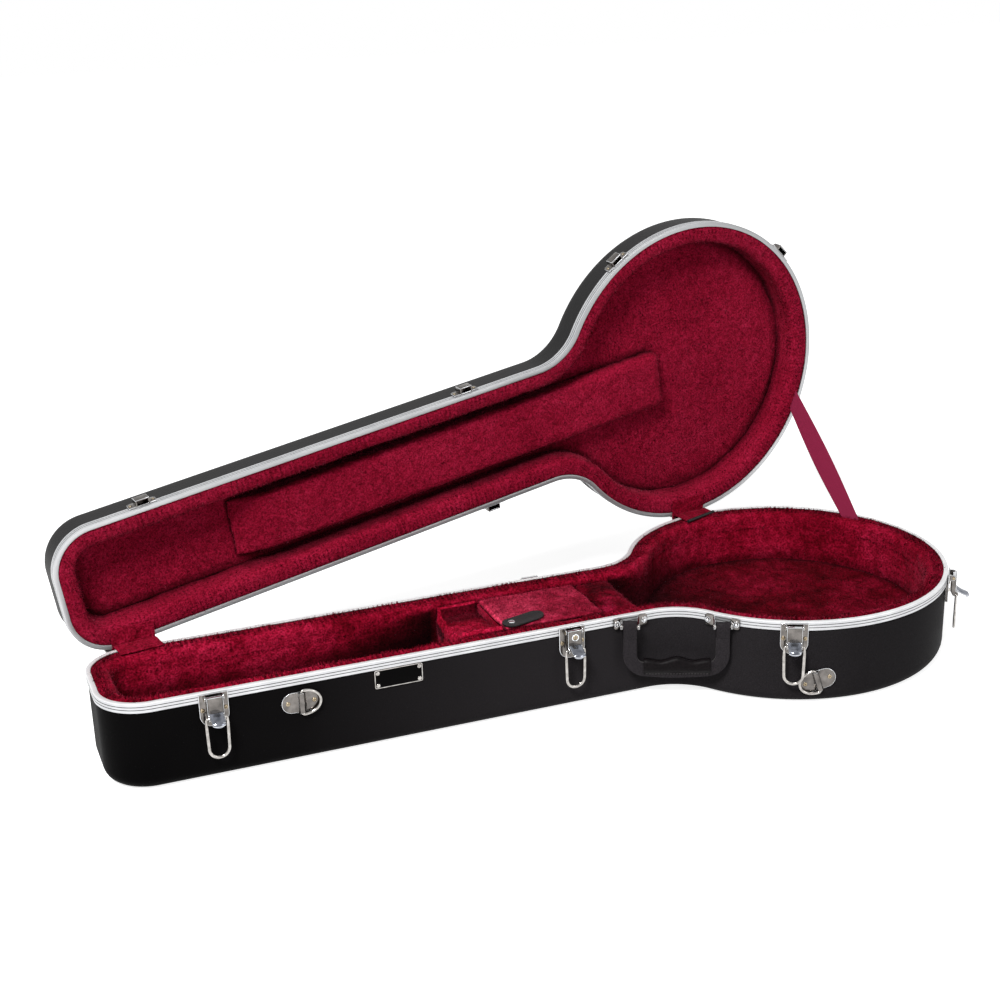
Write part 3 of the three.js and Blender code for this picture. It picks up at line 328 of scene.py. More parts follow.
def outlineLoop(offset):
    cornerX = case["cornerRadius"] - case["neckEnd"]
    cornerY = case["neckHalfWidth"] - case["cornerRadius"]
    hollow, corner = case["waistRadius"] - offset, case["cornerRadius"] + offset
    half = case["neckHalfWidth"] + offset
    quarter = math.pi / 2
    steps = case["neckSteps"]
    return np.concatenate([
        arc(0, 0, case["bodyRadius"] + offset, -bodyAngle, bodyAngle, case["bodySteps"]),
        arc(waistX, waistY, hollow, bodyAngle - math.pi, -quarter, case["waistSteps"])[1:],
        line((waistX, half), (cornerX, half), steps),
        arc(cornerX, cornerY, corner, quarter, math.pi, case["cornerSteps"]),
        line((cornerX - corner, cornerY), (cornerX - corner, -cornerY), case["endSteps"]),
        arc(cornerX, -cornerY, corner, math.pi, 3 * quarter, case["cornerSteps"]),
        line((cornerX, -half), (waistX, -half), steps),
        arc(waistX, -waistY, hollow, quarter, math.pi - bodyAngle, case["waistSteps"])[:-1],
    ])


axisDistance = outside + hinge["standoff"]
reach = axisDistance - case["cornerRadius"] - case["rimWidth"] - hinge["cornerStandoff"]
farX, farY = case["neckEnd"] - case["cornerRadius"], case["neckHalfWidth"] - case["cornerRadius"]
axisTurn = math.asin(reach / math.hypot(farX, farY)) - math.atan2(farY, farX)
hingeAlong = np.array([math.cos(axisTurn), math.sin(axisTurn), 0])
hingeOut = np.array([-math.sin(axisTurn), math.cos(axisTurn), 0])
hingePoint = hingeOut * axisDistance + np.array([0, 0, case["baseDepth"] - hinge["drop"]])


def opened(points):
    local = np.asarray(points, float) - hingePoint
    along, out, up = local @ hingeAlong, local @ hingeOut, local[:, 2]
    c, s = math.cos(hinge["openAngle"]), math.sin(hinge["openAngle"])
    return (hingePoint + along[:, None] * hingeAlong + (out * c + up * s)[:, None] * hingeOut
            + (up * c - out * s)[:, None] * np.array([0, 0, 1.0]))


# Points and frames on the walls, as (along the wall, out of it, up from the rim)
def wallFrame(origin, out, up=(0, 0, 1)):
    out, up = np.array(out, float), np.array(up, float)
    return {"origin": np.array(origin, float), "out": out, "up": up, "along": np.cross(up, out)}


def inFrame(spot, points):
    points = np.asarray(points, float)
    return spot["origin"] + points @ np.array([spot["along"], spot["out"], spot["up"]])


def sideFrame(x, side=-1):
    return wallFrame((x, side * (case["neckHalfWidth"] + case["rimWidth"]), case["baseDepth"]), (0, side, 0))


def bodyFrame(degrees):
    angle = math.radians(degrees)
    out = np.array([math.cos(angle), math.sin(angle), 0])
    origin = out * outside
    origin[2] = case["baseDepth"]
    return wallFrame(origin, out)


# Pieces are gathered from parts, each with its own finish and softened edges
def newPiece():
    return {"mesh": bmesh.new(), "finishes": []}


def addPart(piece, points, faces, finishName, bevel=0.0, segments=2, angle=28, edgeHighlight=None):
    part = bmesh.new()
    verts = [part.verts.new(point) for point in points]
    for face in faces:
        part.faces.new([verts[i] for i in face])
    bmesh.ops.recalc_face_normals(part, faces=part.faces)
    if bevel:
        edges = [e for e in part.edges if len(e.link_faces) == 2 and e.calc_face_angle(0) > math.radians(angle)]
        rounded = bmesh.ops.bevel(part, geom=edges, offset=bevel, offset_type="OFFSET", segments=segments, profile=0.5,
                                  affect="EDGES", clamp_overlap=True)
    for used in (finishName, edgeHighlight or finishName):
        if used not in piece["finishes"]:
            piece["finishes"].append(used)
    for face in part.faces:
        face.material_index = piece["finishes"].index(finishName)
        face.smooth = True
    # painted highlight: the bevel faces take the bright copy of the metal
    if bevel and edgeHighlight:
        for face in rounded["faces"]:
            face.material_index = piece["finishes"].index(edgeHighlight)
    holder = bpy.data.meshes.new("part")
    part.to_mesh(holder)
    part.free()
    piece["mesh"].from_mesh(holder)
    bpy.data.meshes.remove(holder)


def endPiece(piece, name, body, replaced=(), sharp=38):
    mesh = bpy.data.meshes.new(name)
    bmesh.ops.scale(piece["mesh"], vec=(mm, mm, mm), verts=piece["mesh"].verts)
    piece["mesh"].to_mesh(mesh)
    piece["mesh"].free()
    mesh.set_sharp_from_angle(angle=math.radians(sharp))
    for finishName in piece["finishes"]:
        mesh.materials.append(finish[finishName])
    thing = addObject(name, mesh)
    if body:
        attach(thing, body)
    if replaced:
        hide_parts(*replaced)
    return thing


def skin(rings, around=False, capped=True):
    count = len(rings[0])
    faces = []
    for band in range(len(rings) if around else len(rings) - 1):
        low, high = band * count, ((band + 1) % len(rings)) * count
        for i in range(count):
            j = (i + 1) % count
            faces.append((low + i, low + j, high + j, high + i))
    if capped:
        faces += [tuple(reversed(range(count))), tuple(range((len(rings) - 1) * count, len(rings) * count))]
    return np.concatenate([np.asarray(ring, float) for ring in rings]), faces


def outlineRing(offset, height):
    loop = outlineLoop(offset)
    return np.column_stack([loop, np.full(len(loop), height)])


def asBase(points):
    return np.asarray(points, float)


def plate(piece, spot, outline, low, high, finishName, bevel=0.3, turned=asBase, segments=2, edge=None):
    rings = [turned(inFrame(spot, [(a, out, u) for a, u in outline])) for out in (low, high)]
    addPart(piece, *skin(rings), finishName, bevel, segments, edgeHighlight=edge)


def slab(piece, spot, along, outs, ups, finishName, bevel=0.3, turned=asBase, edge=None):
    outline = [(along[0], ups[0]), (along[1], ups[0]), (along[1], ups[1]), (along[0], ups[1])]
    plate(piece, spot, outline, outs[0], outs[1], finishName, bevel, turned, edge=edge)


def bar(piece, spot, section, along, finishName, bevel=0.3, turned=asBase, segments=2, edge=None):
    rings = [turned(inFrame(spot, [(a, out, u) for out, u in section])) for a in along]
    addPart(piece, *skin(rings), finishName, bevel, segments, edgeHighlight=edge)


def turnedRings(spot, centre, profile, axis, sides=24, turned=asBase):
    rings = []
    for reachOut, radius in profile:
        ring = []
        for i in range(sides):
            a = 2 * math.pi * i / sides
            first, second = radius * math.cos(a), radius * math.sin(a)
            if axis == "out":
                ring.append((centre[0] + first, reachOut, centre[1] + second))
            else:
                ring.append((reachOut, centre[0] + first, centre[1] + second))
        rings.append(turned(inFrame(spot, ring)))
    return skin(rings)


def domedStud(piece, spot, along, up, radius, low, height, finishName, turned=asBase, hollow=False):
    steps = [(low, radius), (low + height * 0.45, radius), (low + height * 0.75, radius * 0.9),
             (low + height * 0.93, radius * 0.68), (low + height, radius * 0.38)]
    if hollow:
        steps += [(low + height * 0.7, radius * 0.26), (low + height * 0.3, radius * 0.2)]
    addPart(piece, *turnedRings(spot, (along, up), steps, "out", turned=turned), finishName)


def peg(piece, spot, out, up, radius, along, finishName, turned=asBase, sides=20):
    soft = min(radius * 0.2, 0.3)
    steps = [(along[0], radius - soft), (along[0] + soft, radius), (along[1] - soft, radius),
             (along[1], radius - soft)]
    addPart(piece, *turnedRings(spot, (out, up), steps, "along", sides, turned), finishName)


def wire(piece, path, radius, finishName, joined=False, sides=14, flat=1.0):
    path = np.asarray(path, float)
    count = len(path)
    radii = np.full(count, radius) if np.isscalar(radius) else radius
    travel = unit(np.roll(path, -1, 0) - np.roll(path, 1, 0) if joined else np.gradient(path, axis=0))
    normal = np.cross(path[1] - path[0], path[count // 2] - path[0])
    normal /= np.linalg.norm(normal)
    rings = []
    for point, ahead, thick in zip(path, travel, radii):
        side = np.cross(ahead, normal)
        side /= np.linalg.norm(side)
        lift = np.cross(side, ahead)
        angles = np.linspace(0, 2 * math.pi, sides, endpoint=False)[:, None]
        rings.append(point + thick * (np.cos(angles) * side + flat * np.sin(angles) * lift))
    addPart(piece, *skin(rings, around=joined, capped=not joined), finishName)


def arcPairs(x, y, radius, start, end, steps):
    return [tuple(p) for p in arc(x, y, radius, math.radians(start), math.radians(end), steps)]


def halfWidthAt(x, offset):
    body, hollow, corner = case["bodyRadius"] + offset, case["waistRadius"] - offset, case["cornerRadius"] + offset
    cornerX = case["cornerRadius"] - case["neckEnd"]
    if x > body * math.cos(bodyAngle):
        return math.sqrt(max(body * body - x * x, 0))
    if x > waistX:
        return waistY - math.sqrt(max(hollow * hollow - (x - waistX) ** 2, 0))
    if x > cornerX:
        return case["neckHalfWidth"] + offset
    straight = case["neckHalfWidth"] - case["cornerRadius"]
    return straight + math.sqrt(max(corner * corner - (x - cornerX) ** 2, 0))


def ripple(points, size, strength, seed):
    shift = Vector((seed * 7.3, seed * 3.1, seed * 5.7))
    return np.array([noise.fractal(Vector(p) / size + shift, 0.9, 2.1, 3) for p in points]) * strength


floorLook = {"inset": -21.6, "edgeDrop": 1.0, "waves": ((55, 1.0), (16, 0.45)), "edgeRows": 6, "edgeWave": 0.35}


def floorGrid(x0, x1, height, columns, rows, crown, seed):
    shares = (1 - np.cos(np.linspace(0, math.pi, columns + 1))) / 2
    across = np.linspace(-1, 1, rows + 1)
    across = np.sign(across) * (1 - (1 - np.abs(across)) ** 1.3)
    points = []
    for x in x0 + (x1 - x0) * shares:
        half = max(halfWidthAt(x, floorLook["inset"]), 0.2)
        for share in across:
            points.append((x, half * share, height))
    points = np.array(points)
    (wide, high), (fine, low) = floorLook["waves"]
    wave = ripple(points, wide, crown * high, seed) + ripple(points, fine, crown * low, seed + 3)
    near = np.minimum(1, (1 - np.abs(across)) * floorLook["edgeRows"])[None, :]
    share = floorLook["edgeWave"] + (1 - floorLook["edgeWave"]) * near
    points[:, 2] += (wave.reshape(columns + 1, rows + 1) * share - floorLook["edgeDrop"] * (1 - near)).ravel()
    faces = []
    for i in range(columns):
        for j in range(rows):
            a = i * (rows + 1) + j
            faces.append((a, a + 1, a + rows + 2, a + rows + 1))
    return points, faces


# Shells: moulded plastic with a rounded foot, the lid's the same, upside down
shellLook = {"footSteps": 9, "lipDrop": 1.9, "dish": 0.6, "dishInset": 26}


def buildShell(name, body, depth, round_, finishName, seated):
    outer, inner = case["shellOut"], case["shellOut"] - case["shellWall"]
    turn = [math.radians(a) for a in np.linspace(-90, 0, shellLook["footSteps"])]
    profile = [(outer - round_ - shellLook["dishInset"], shellLook["dish"]), (outer - round_ - 6, 0.0)]
    profile += [(outer - round_ + round_ * math.cos(a), round_ + round_ * math.sin(a)) for a in turn]
    profile += [(outer, depth * 0.4), (outer, depth - shellLook["lipDrop"])]
    profile += [(inner, depth - shellLook["lipDrop"]), (inner, round_)]
    profile += [(outer - round_ + (round_ - case["shellWall"]) * math.cos(a),
                 round_ + (round_ - case["shellWall"]) * math.sin(a)) for a in turn[::-1]]
    piece = newPiece()
    points, faces = skin([outlineRing(offset, height) for offset, height in profile], capped=False)
    addPart(piece, seated(points), faces, finishName)
    for height, offset in ((shellLook["dish"], profile[0][0]), (case["shellWall"], profile[-1][0])):
        ring = outlineRing(offset, height)
        addPart(piece, seated(ring), [tuple(range(len(ring)))], finishName)
    endPiece(piece, name, body, [name.replace("_moulding", "_shell")])


def asLid(points):
    turned = np.array(points, float)
    turned[:, 2] = case["baseDepth"] + case["closingGap"] + case["lidDepth"] - turned[:, 2]
    return opened(turned)


buildShell("base_moulding", "base", case["baseDepth"], case["baseRound"], "base", asBase)
buildShell("lid_moulding", "lid", case["lidDepth"], case["lidRound"], "lid", asLid)
print("shells made")

# Aluminium rims: a top band in a lighter copy of the metal, a painted highlight (on the lid a darker copy, painted
# shade), and two grooves round the outside, darkened as painted shade
rimLook = {"soft": 0.7, "grooves": (3.7, 7.0), "grooveWidth": 0.85, "grooveDepth": 0.55, "skirtWall": 1.2,
           "topWall": 1.5}


def buildRim(name, body, depth, seated, replaced, topFinish):
    width, soft, skirt = case["rimWidth"], rimLook["soft"], case["rimSkirt"]
    band = [(0, 0.5), (0.15, 0.12), (0.6, 0), (width - soft, 0), (width - soft * 0.3, soft * 0.3), (width, soft)]
    runs = [(topFinish, band)]
    last = band[-1]
    for drop in rimLook["grooves"]:
        half, deep = rimLook["grooveWidth"] / 2, width - rimLook["grooveDepth"]
        runs.append(("rim", [last, (width, drop - half)]))
        runs.append(("groove", [(width, drop - half), (deep, drop - half * 0.6), (deep, drop + half * 0.6),
                                (width, drop + half)]))
        last = (width, drop + half)
    runs.append(("rim", [last, (width, skirt - 0.4), (width - 0.3, skirt), (width - 1.0, skirt),
                         (width - rimLook["skirtWall"], skirt - 0.4), (width - rimLook["skirtWall"], 2.2),
                         (0.2, rimLook["topWall"]), (0, 0.5)]))
    piece = newPiece()
    for finishName, run in runs:
        points, faces = skin([outlineRing(offset, depth - drop) for offset, drop in run], capped=False)
        addPart(piece, seated(points), faces, finishName)
    bmesh.ops.remove_doubles(piece["mesh"], verts=piece["mesh"].verts, dist=0.001)
    endPiece(piece, name, body, [replaced], 30)


buildRim("base_rim_extrusion", "base", case["baseDepth"], asBase, "base_rim", "rimTop")
buildRim("lid_rim_extrusion", "lid", case["lidDepth"], asLid, "lid_rim", "lidRimTop")
print("rims made")

# Plush: soft rings round both halves, floors, and the fur on every edge
paddingLook = {"waveSize": 46, "wave": 1.1, "pinchSize": 13, "pinch": 0.75, "range": (-2.4, 1.0),
               "profile": ((0.6, 30), (0.9, 7), (0.4, 2.6), (-1.0, 1.4), (-4.0, 1.1), (-8.0, 1.2), (-12.0, 1.6),
                           (-15.4, 2.4), (-18.2, 4.0), (-20.0, 6.6), (-20.9, 10.5), (-21.2, 16), (-21.3, 26),
                           (-21.3, 35))}
furLook = {"length": 4.0, "width": 0.45, "napSize": 22, "nap": 1.1, "stray": 0.4, "dark": 0.35, "bright": 1.7,
           "root": 0.55, "spread": 2.2, "sunk": 0.5, "lengths": (0.45, 1.0), "widths": (0.5, 1.0), "lowest": 0.25,
           "edgeTufts": 14000, "paddingTufts": 60000, "floorTufts": 50000, "blockTufts": 11000}


def faceOpenSide(thing, seated):
    side, polygons = seated([(0, 0, 0), (0, 0, 1)]), thing.data.polygons
    if (readItems(polygons, "normal", 3) @ (side[1] - side[0]) * readItems(polygons, "area")).sum() < 0:
        thing.data.flip_normals()


def setShade(mesh, values):
    shades = np.ones((len(mesh.vertices), 4))
    shades[:, :3] = np.reshape(values, (-1, 1))
    mesh.color_attributes.new("pileShade", "FLOAT_COLOR", "POINT").data.foreach_set("color", shades.ravel())


# crease sets how plush is darkened in its creases, as painted shade; hollow sets painted shade in the neck's deep
# corners, notch and far wall, and painted highlights on the cradle's edges, the near padding's top and the cover's end
crease = {"reach": 0.03, "rays": 12, "turn": 2.39996, "lean": 0.96, "dark": 0.16, "closed": 0.44, "open": 0.88}
hollow = {"heelEnd": -215, "cradle": (-441.8, -389.4), "top": 96, "reach": 200, "dark": 0.05,
          "nearRow": (-52, 97), "nearEdge": 1.5, "farRow": 40, "lowWall": ((56, 74), (0.35, 1.0)),
          "cradleHalf": 49.5, "cradleLow": 45, "notch": (-38, 46, 99), "notchFade": ((6, 20), (1.25, 0.3)),
          "edge": 5.5, "shoulder": 37, "paintedHighlight": 1.45, "coverHalf": 48, "coverEdge": 5, "coverEnd": 1.7}


def neckHollow(points):  # painted shade in the deep corners beside the heel and the cradle, on the far wall's low band and in the cradle's notch; painted highlight on the cradle's edges and shoulders, the notch's front, the near padding's top and the cover's end
    x, y, height = points.T
    shade = np.ones(len(points))
    left, right = hollow["cradle"]
    reach = 5 + hollow["reach"] * np.clip((hollow["top"] - height) / 50, 0, 1) ** 0.7
    for away in (x - hollow["heelEnd"], left - x):
        deep = hollow["dark"] + (1 - hollow["dark"]) * np.clip(away / reach, 0, 1) ** 2
        deep = np.minimum(deep + np.clip((height - hollow["top"]) / 4, 0, 1), 1)
        shade[away > -1] = deep[away > -1]
    near, brim = hollow["nearRow"]
    shade[(y < near) & (height > brim) & (x < hollow["heelEnd"])] *= hollow["nearEdge"]
    farWall = (y > hollow["farRow"]) & (x < left)
    shade[farWall] *= np.interp(height[farWall], *hollow["lowWall"])
    cradled = (x >= left) & (x < right) & (np.abs(y) < hollow["cradleHalf"]) & (height > hollow["cradleLow"])
    front, back, top = hollow["notch"]
    dipped = cradled & (height < top) & (y > front) & (y < back)
    shade[dipped] = np.interp(y[dipped], *hollow["notchFade"])
    shade[cradled & (x < left + hollow["edge"])] = hollow["paintedHighlight"]
    shade[cradled & (np.abs(y) > hollow["shoulder"]) & (height > brim)] = hollow["paintedHighlight"]
    shade[(x >= right) & (x < right + hollow["coverEdge"]) & (np.abs(y) < hollow["coverHalf"])] = hollow["coverEnd"]
    return shade


# Painted shade: each plush vertex is darkened by how many short rays from it meet the plush close by, as shade gathers
# in creases, then multiplied by extra's painted shade and highlights
def darkenCreases(things, extra=None):
    corners, faces = [], []
    for thing in things:
        start = len(corners)
        corners += [tuple(p) for p in meshPoints(thing.data)]
        faces += [tuple(start + v for v in polygon.vertices) for polygon in thing.data.polygons]
    tree = BVHTree.FromPolygons(corners, faces)
    around = []
    for i in range(crease["rays"]):
        z, a = 1 - 2 * (i + 0.5) / crease["rays"], i * crease["turn"]
        flat = math.sqrt(1 - z * z)
        around.append(Vector((flat * math.cos(a), flat * math.sin(a), z)) * crease["lean"])
    span = crease["open"] - crease["closed"]
    for thing in things:
        shade = []
        for vertex in thing.data.vertices:
            start, blocked = vertex.co + vertex.normal * 0.0012, 0.0
            for way in around:
                hit = tree.ray_cast(start, (vertex.normal + way).normalized(), crease["reach"])
                if hit[3] is not None:
                    blocked += 1 - 0.5 * hit[3] / crease["reach"]
            light = min(max((1 - blocked / crease["rays"] - crease["closed"]) / span, 0), 1)
            shade.append(crease["dark"] + (1 - crease["dark"]) * light)
        if extra:
            shade = np.array(shade) * extra(meshPoints(thing.data) / mm)
        setShade(thing.data, shade)


def endLining(name, body, points, faces, seated, replaced, finishName, fill):
    piece = newPiece()
    addPart(piece, seated(points), faces, finishName)
    thing = endPiece(piece, name, body, [replaced], 80)
    faceOpenSide(thing, seated)
    return thing


def buildPadding(name, body, depth, deepest, seated, replaced, seed, finishName):
    profile = list(paddingLook["profile"])
    profile += [(-21.4, drop) for drop in np.linspace(35, deepest, 5)[1:]]
    rings = []
    for k, (offset, drop) in enumerate(profile):
        flat = outlineRing(offset, depth - drop)
        outward = unit(outlineRing(offset + 0.5, depth - drop) - flat)
        wave = ripple(flat, paddingLook["waveSize"], paddingLook["wave"], seed)
        wave += ripple(flat, paddingLook["pinchSize"], paddingLook["pinch"], seed + 2)
        side = min(max((k - 4) / 5, 0), 1)
        loose = 0.0 if k < 2 else min(1, (k - 1) / 3)
        lift = np.clip(wave, *paddingLook["range"])[:, None] * loose
        rings.append(flat - outward * lift * side * 0.9 + np.array([0, 0, 1.0]) * lift * (1 - side))
    return endLining(name, body, *skin(rings, capped=False), seated, replaced, finishName, 0.7)


basePadding = buildPadding("base_plush_ring", "base", case["baseDepth"], 71, asBase, "base_side_padding", 1, "plush")
lidPadding = buildPadding("lid_plush_ring", "lid", case["lidDepth"], 37, asLid, "lid_side_padding", 5, "lidPlush")
floors = {  # ends, height, columns, rows, crown and seed of each floor
    "base_well_plush": ((-214, 168, 39, 120, 100, 0.8, 11), "base", asBase, "base_well_pad", "floorPlush"),
    "base_neck_plush": ((-818, -216, 33, 150, 28, 0.8, 12), "base", asBase, "base_neck_pad", "plush"),
    "lid_panel_plush": ((-818, 168, 15, 260, 90, 0.9, 13), "lid", asLid, "lid_panel_pad", "lidPlush"),
}
wellFloor, neckFloor, lidFloor = [
    endLining(name, body, *floorGrid(*grid), seated, replaced, finishName, 0.5)
    for name, (grid, body, seated, replaced, finishName) in floors.items()]
print("plush linings made")


# Blocks under plush: swollen by a short cloth run, then given their creases
blockLook = {"voxel": 3.4, "pressure": 4.0, "frames": 20, "inset": 1.0, "waves": ((26, 0.7), (9, 0.45)),
             "waveRange": (-1.3, 0.5)}


def swell(thing, most, seed):
    remesh = thing.modifiers.new("remesh", "REMESH")
    remesh.mode, remesh.voxel_size = "VOXEL", blockLook["voxel"] * mm
    scene = bpy.context.scene
    bake(thing)
    start = meshPoints(thing.data)
    cloth = thing.modifiers.new("cloth", "CLOTH")
    cloth.settings.use_pressure = True
    cloth.settings.uniform_pressure_force = blockLook["pressure"]
    cloth.settings.effector_weights.gravity = 0
    cloth.settings.quality = 4
    for number in range(1, blockLook["frames"] + 1):
        scene.frame_set(number)
    bake(thing)
    scene.frame_set(1)
    move = meshPoints(thing.data) - start
    far = np.linalg.norm(move, axis=1)
    move *= np.minimum(1, most * mm / np.maximum(far, 1e-9))[:, None]
    setPoints(thing.data, start + move)
    smooth = thing.modifiers.new("subdivision", "SUBSURF")
    smooth.levels = smooth.render_levels = 1
    bake(thing)
    normals = readItems(thing.data.vertices, "normal", 3)
    spots = meshPoints(thing.data)
    wave = sum(ripple(spots / mm, *size, seed + k) for k, size in enumerate(blockLook["waves"]))
    setPoints(thing.data, spots + normals * (np.clip(wave, *blockLook["waveRange"])[:, None] * mm))
    for polygon in thing.data.polygons:
        polygon.use_smooth = True


def meshPoints(mesh):
    return readItems(mesh.vertices, "co", 3)


def setPoints(mesh, points):
    mesh.vertices.foreach_set("co", points.ravel())
    mesh.update()


def bake(thing):
    bpy.context.view_layer.update()
    shown = thing.evaluated_get(bpy.context.evaluated_depsgraph_get())
    made = bpy.data.meshes.new_from_object(shown)
    thing.modifiers.clear()
    old = thing.data
    thing.data = made
    made.name = old.name
    bpy.data.meshes.remove(old)


def buildBlock(name, body, points, faces, replaced, most, seed, seated=asBase, bevel=2.0, fill=0.8, finishName="plush"):
    piece = newPiece()
    addPart(piece, seated(points), faces, finishName, bevel, 3)
    thing = endPiece(piece, name, None, (), 80)
    swell(thing, most, seed)
    if not thing.data.materials:
        thing.data.materials.append(finish[finishName])
    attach(thing, body)
    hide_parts(*replaced)
    return thing


blocks = {"floor": 34.0, "half": 48.7, "heel": (-265, -215), "heelTop": 97, "heelRound": 9,
          "cradle": (-441.6, -389.6), "cradleTop": 102.5, "notchHalf": 38, "notchBack": 45, "notchDepth": 13,
          "cover": (-389.3, -265.3), "coverHalf": 47.5, "coverHeight": (94.0, 100.0),
          "boxHalf": 48.2, "boxTop": 93.4, "boxWall": 2.5, "boxShade": (1.1, 0.7),
          "lidPad": (-634, -32), "lidPadHalf": 38, "lidPadHeight": (15.3, 36), "lidPadSlope": 62}


def alongX(outline, x0, x1, steps):
    rings = [[(x, y, z) for y, z in outline] for x in np.linspace(x0, x1, steps + 1)]
    return skin(rings)


def buildBlocks():
    inset, low, half = blockLook["inset"], blocks["floor"], blocks["half"] - blockLook["inset"]
    x0, x1 = blocks["heel"]
    top, soft = blocks["heelTop"] - inset, blocks["heelRound"]
    side = [(x0 + 0.4, low), (x1 - inset, low), (x1 - inset, top - soft), (x1 - inset - soft * 0.3, top - soft * 0.3),
            (x1 - inset - soft, top), (x0 + 0.4, top)]
    rings = [[(x, y, z) for x, z in side] for y in np.linspace(-half, half, 9)]
    heel = buildBlock("heel_plush", "base", *skin(rings), ["heel_block"], 1.2, 21,
                      finishName="heelPlush")
    x0, x1 = blocks["cradle"]
    top, notch, back = blocks["cradleTop"] - 0.4, blocks["notchHalf"], blocks["notchBack"]
    dip = blocks["cradleTop"] - blocks["notchDepth"] - inset
    outline = [(-half, low), (half, low), (half, top - 1.5), (half - 1, top), (back + 1, top), (back - 0.5, top - 2.5),
               (back - 3, dip + 1.5), (back - 7, dip), (8 - notch, dip), (4 - notch, dip + 1.5), (1 - notch, top - 2.5),
               (-notch - 2, top), (3 - half, top), (-half, top - 3)]
    cradle = buildBlock("cradle_plush", "base", *alongX(outline, x0 + inset, x1 - inset, 5), ["cradle_block"], 1.2, 24)
    x0, x1 = blocks["cover"]
    side = blocks["coverHalf"] - 0.6
    z0, z1 = blocks["coverHeight"]
    outline = [(-side, z0 + 0.4), (side, z0 + 0.4), (side, z1 - 0.7), (-side, z1 - 0.7)]
    cover = buildBlock("compartment_cover_plush", "compartment_cover", *alongX(outline, x0 + 0.8, x1 - 0.6, 8),
                       ["compartment_lid"], 0.5, 27, bevel=1.6, fill=0.9, finishName="coverPlush")
    x0, x1 = blocks["lidPad"]
    side = blocks["lidPadHalf"] - 1.2
    z0, z1 = blocks["lidPadHeight"][0] + 0.3, blocks["lidPadHeight"][1] - 1.2
    outline = [(-side, z0), (side, z0), (side, z1 - 6), (side - 1.8, z1 - 1.8), (side - 6, z1), (6 - side, z1),
               (1.8 - side, z1 - 1.8), (-side, z1 - 6)]
    rings = []
    slope = blocks["lidPadSlope"]
    for x in (*np.linspace(x0 + 1.2, x0 + slope, 12), *np.linspace(x0 + 84, x1 - 40, 25),
              *(x1 - 1.2 - 14 * (1 - np.sin(np.linspace(0.1, 1, 8) * math.pi / 2)))):
        lift = 0.14 + 0.86 * math.sin(min((x - x0) / slope, 1) * math.pi / 2)
        end = max(1 - (x1 - 1.2 - x) / 15, 0)
        lift *= 1 - 0.3 * end ** 3
        narrow = 1 - 0.16 * end ** 3
        rings.append([(x, y * narrow, z0 + (z - z0) * lift) for y, z in outline])
    lidPad = buildBlock("lid_neck_plush", "lid", *skin(rings), ["lid_neck_pad"], 1.0, 30,
                        seated=asLid, bevel=3.0, finishName="lidPlush")
    return heel, cradle, cover, lidPad


heel, cradle, cover, lidPad = buildBlocks()
print("blocks made")


def buildCompartment():
    piece = newPiece()
    x0, x1 = blocks["cover"]
    half, low, top, wall = blocks["boxHalf"], blocks["floor"], blocks["boxTop"], blocks["boxWall"]
    x1 -= 0.3
    spot = wallFrame((0, 0, 0), (0, -1, 0))
    walls = [((x0, x1), (half - wall, half), (low, top)), ((x0, x1), (-half, wall - half), (low, top)),
             ((x0, x0 + wall), (-half, half), (low, top)), ((x1 - wall, x1), (-half, half), (low, top)),
             ((x0, x1), (-half, half), (low, low + wall))]
    for alongs, outs, ups in walls:
        slab(piece, spot, alongs, outs, ups, "plush", 0.8)
    lining = endPiece(piece, "compartment_lining", "base", ["compartment_box"])
    # painted shade: the lining darkened inside the box, with a painted highlight on its neck-end wall
    setShade(lining.data, np.where(meshPoints(lining.data)[:, 0] < (x0 + 3) * mm, *blocks["boxShade"]))


buildCompartment()
darkenCreases([basePadding, wellFloor, neckFloor, heel, cradle, cover], neckHollow)
darkenCreases([lidPadding, lidFloor, lidPad])
print("creases darkened")

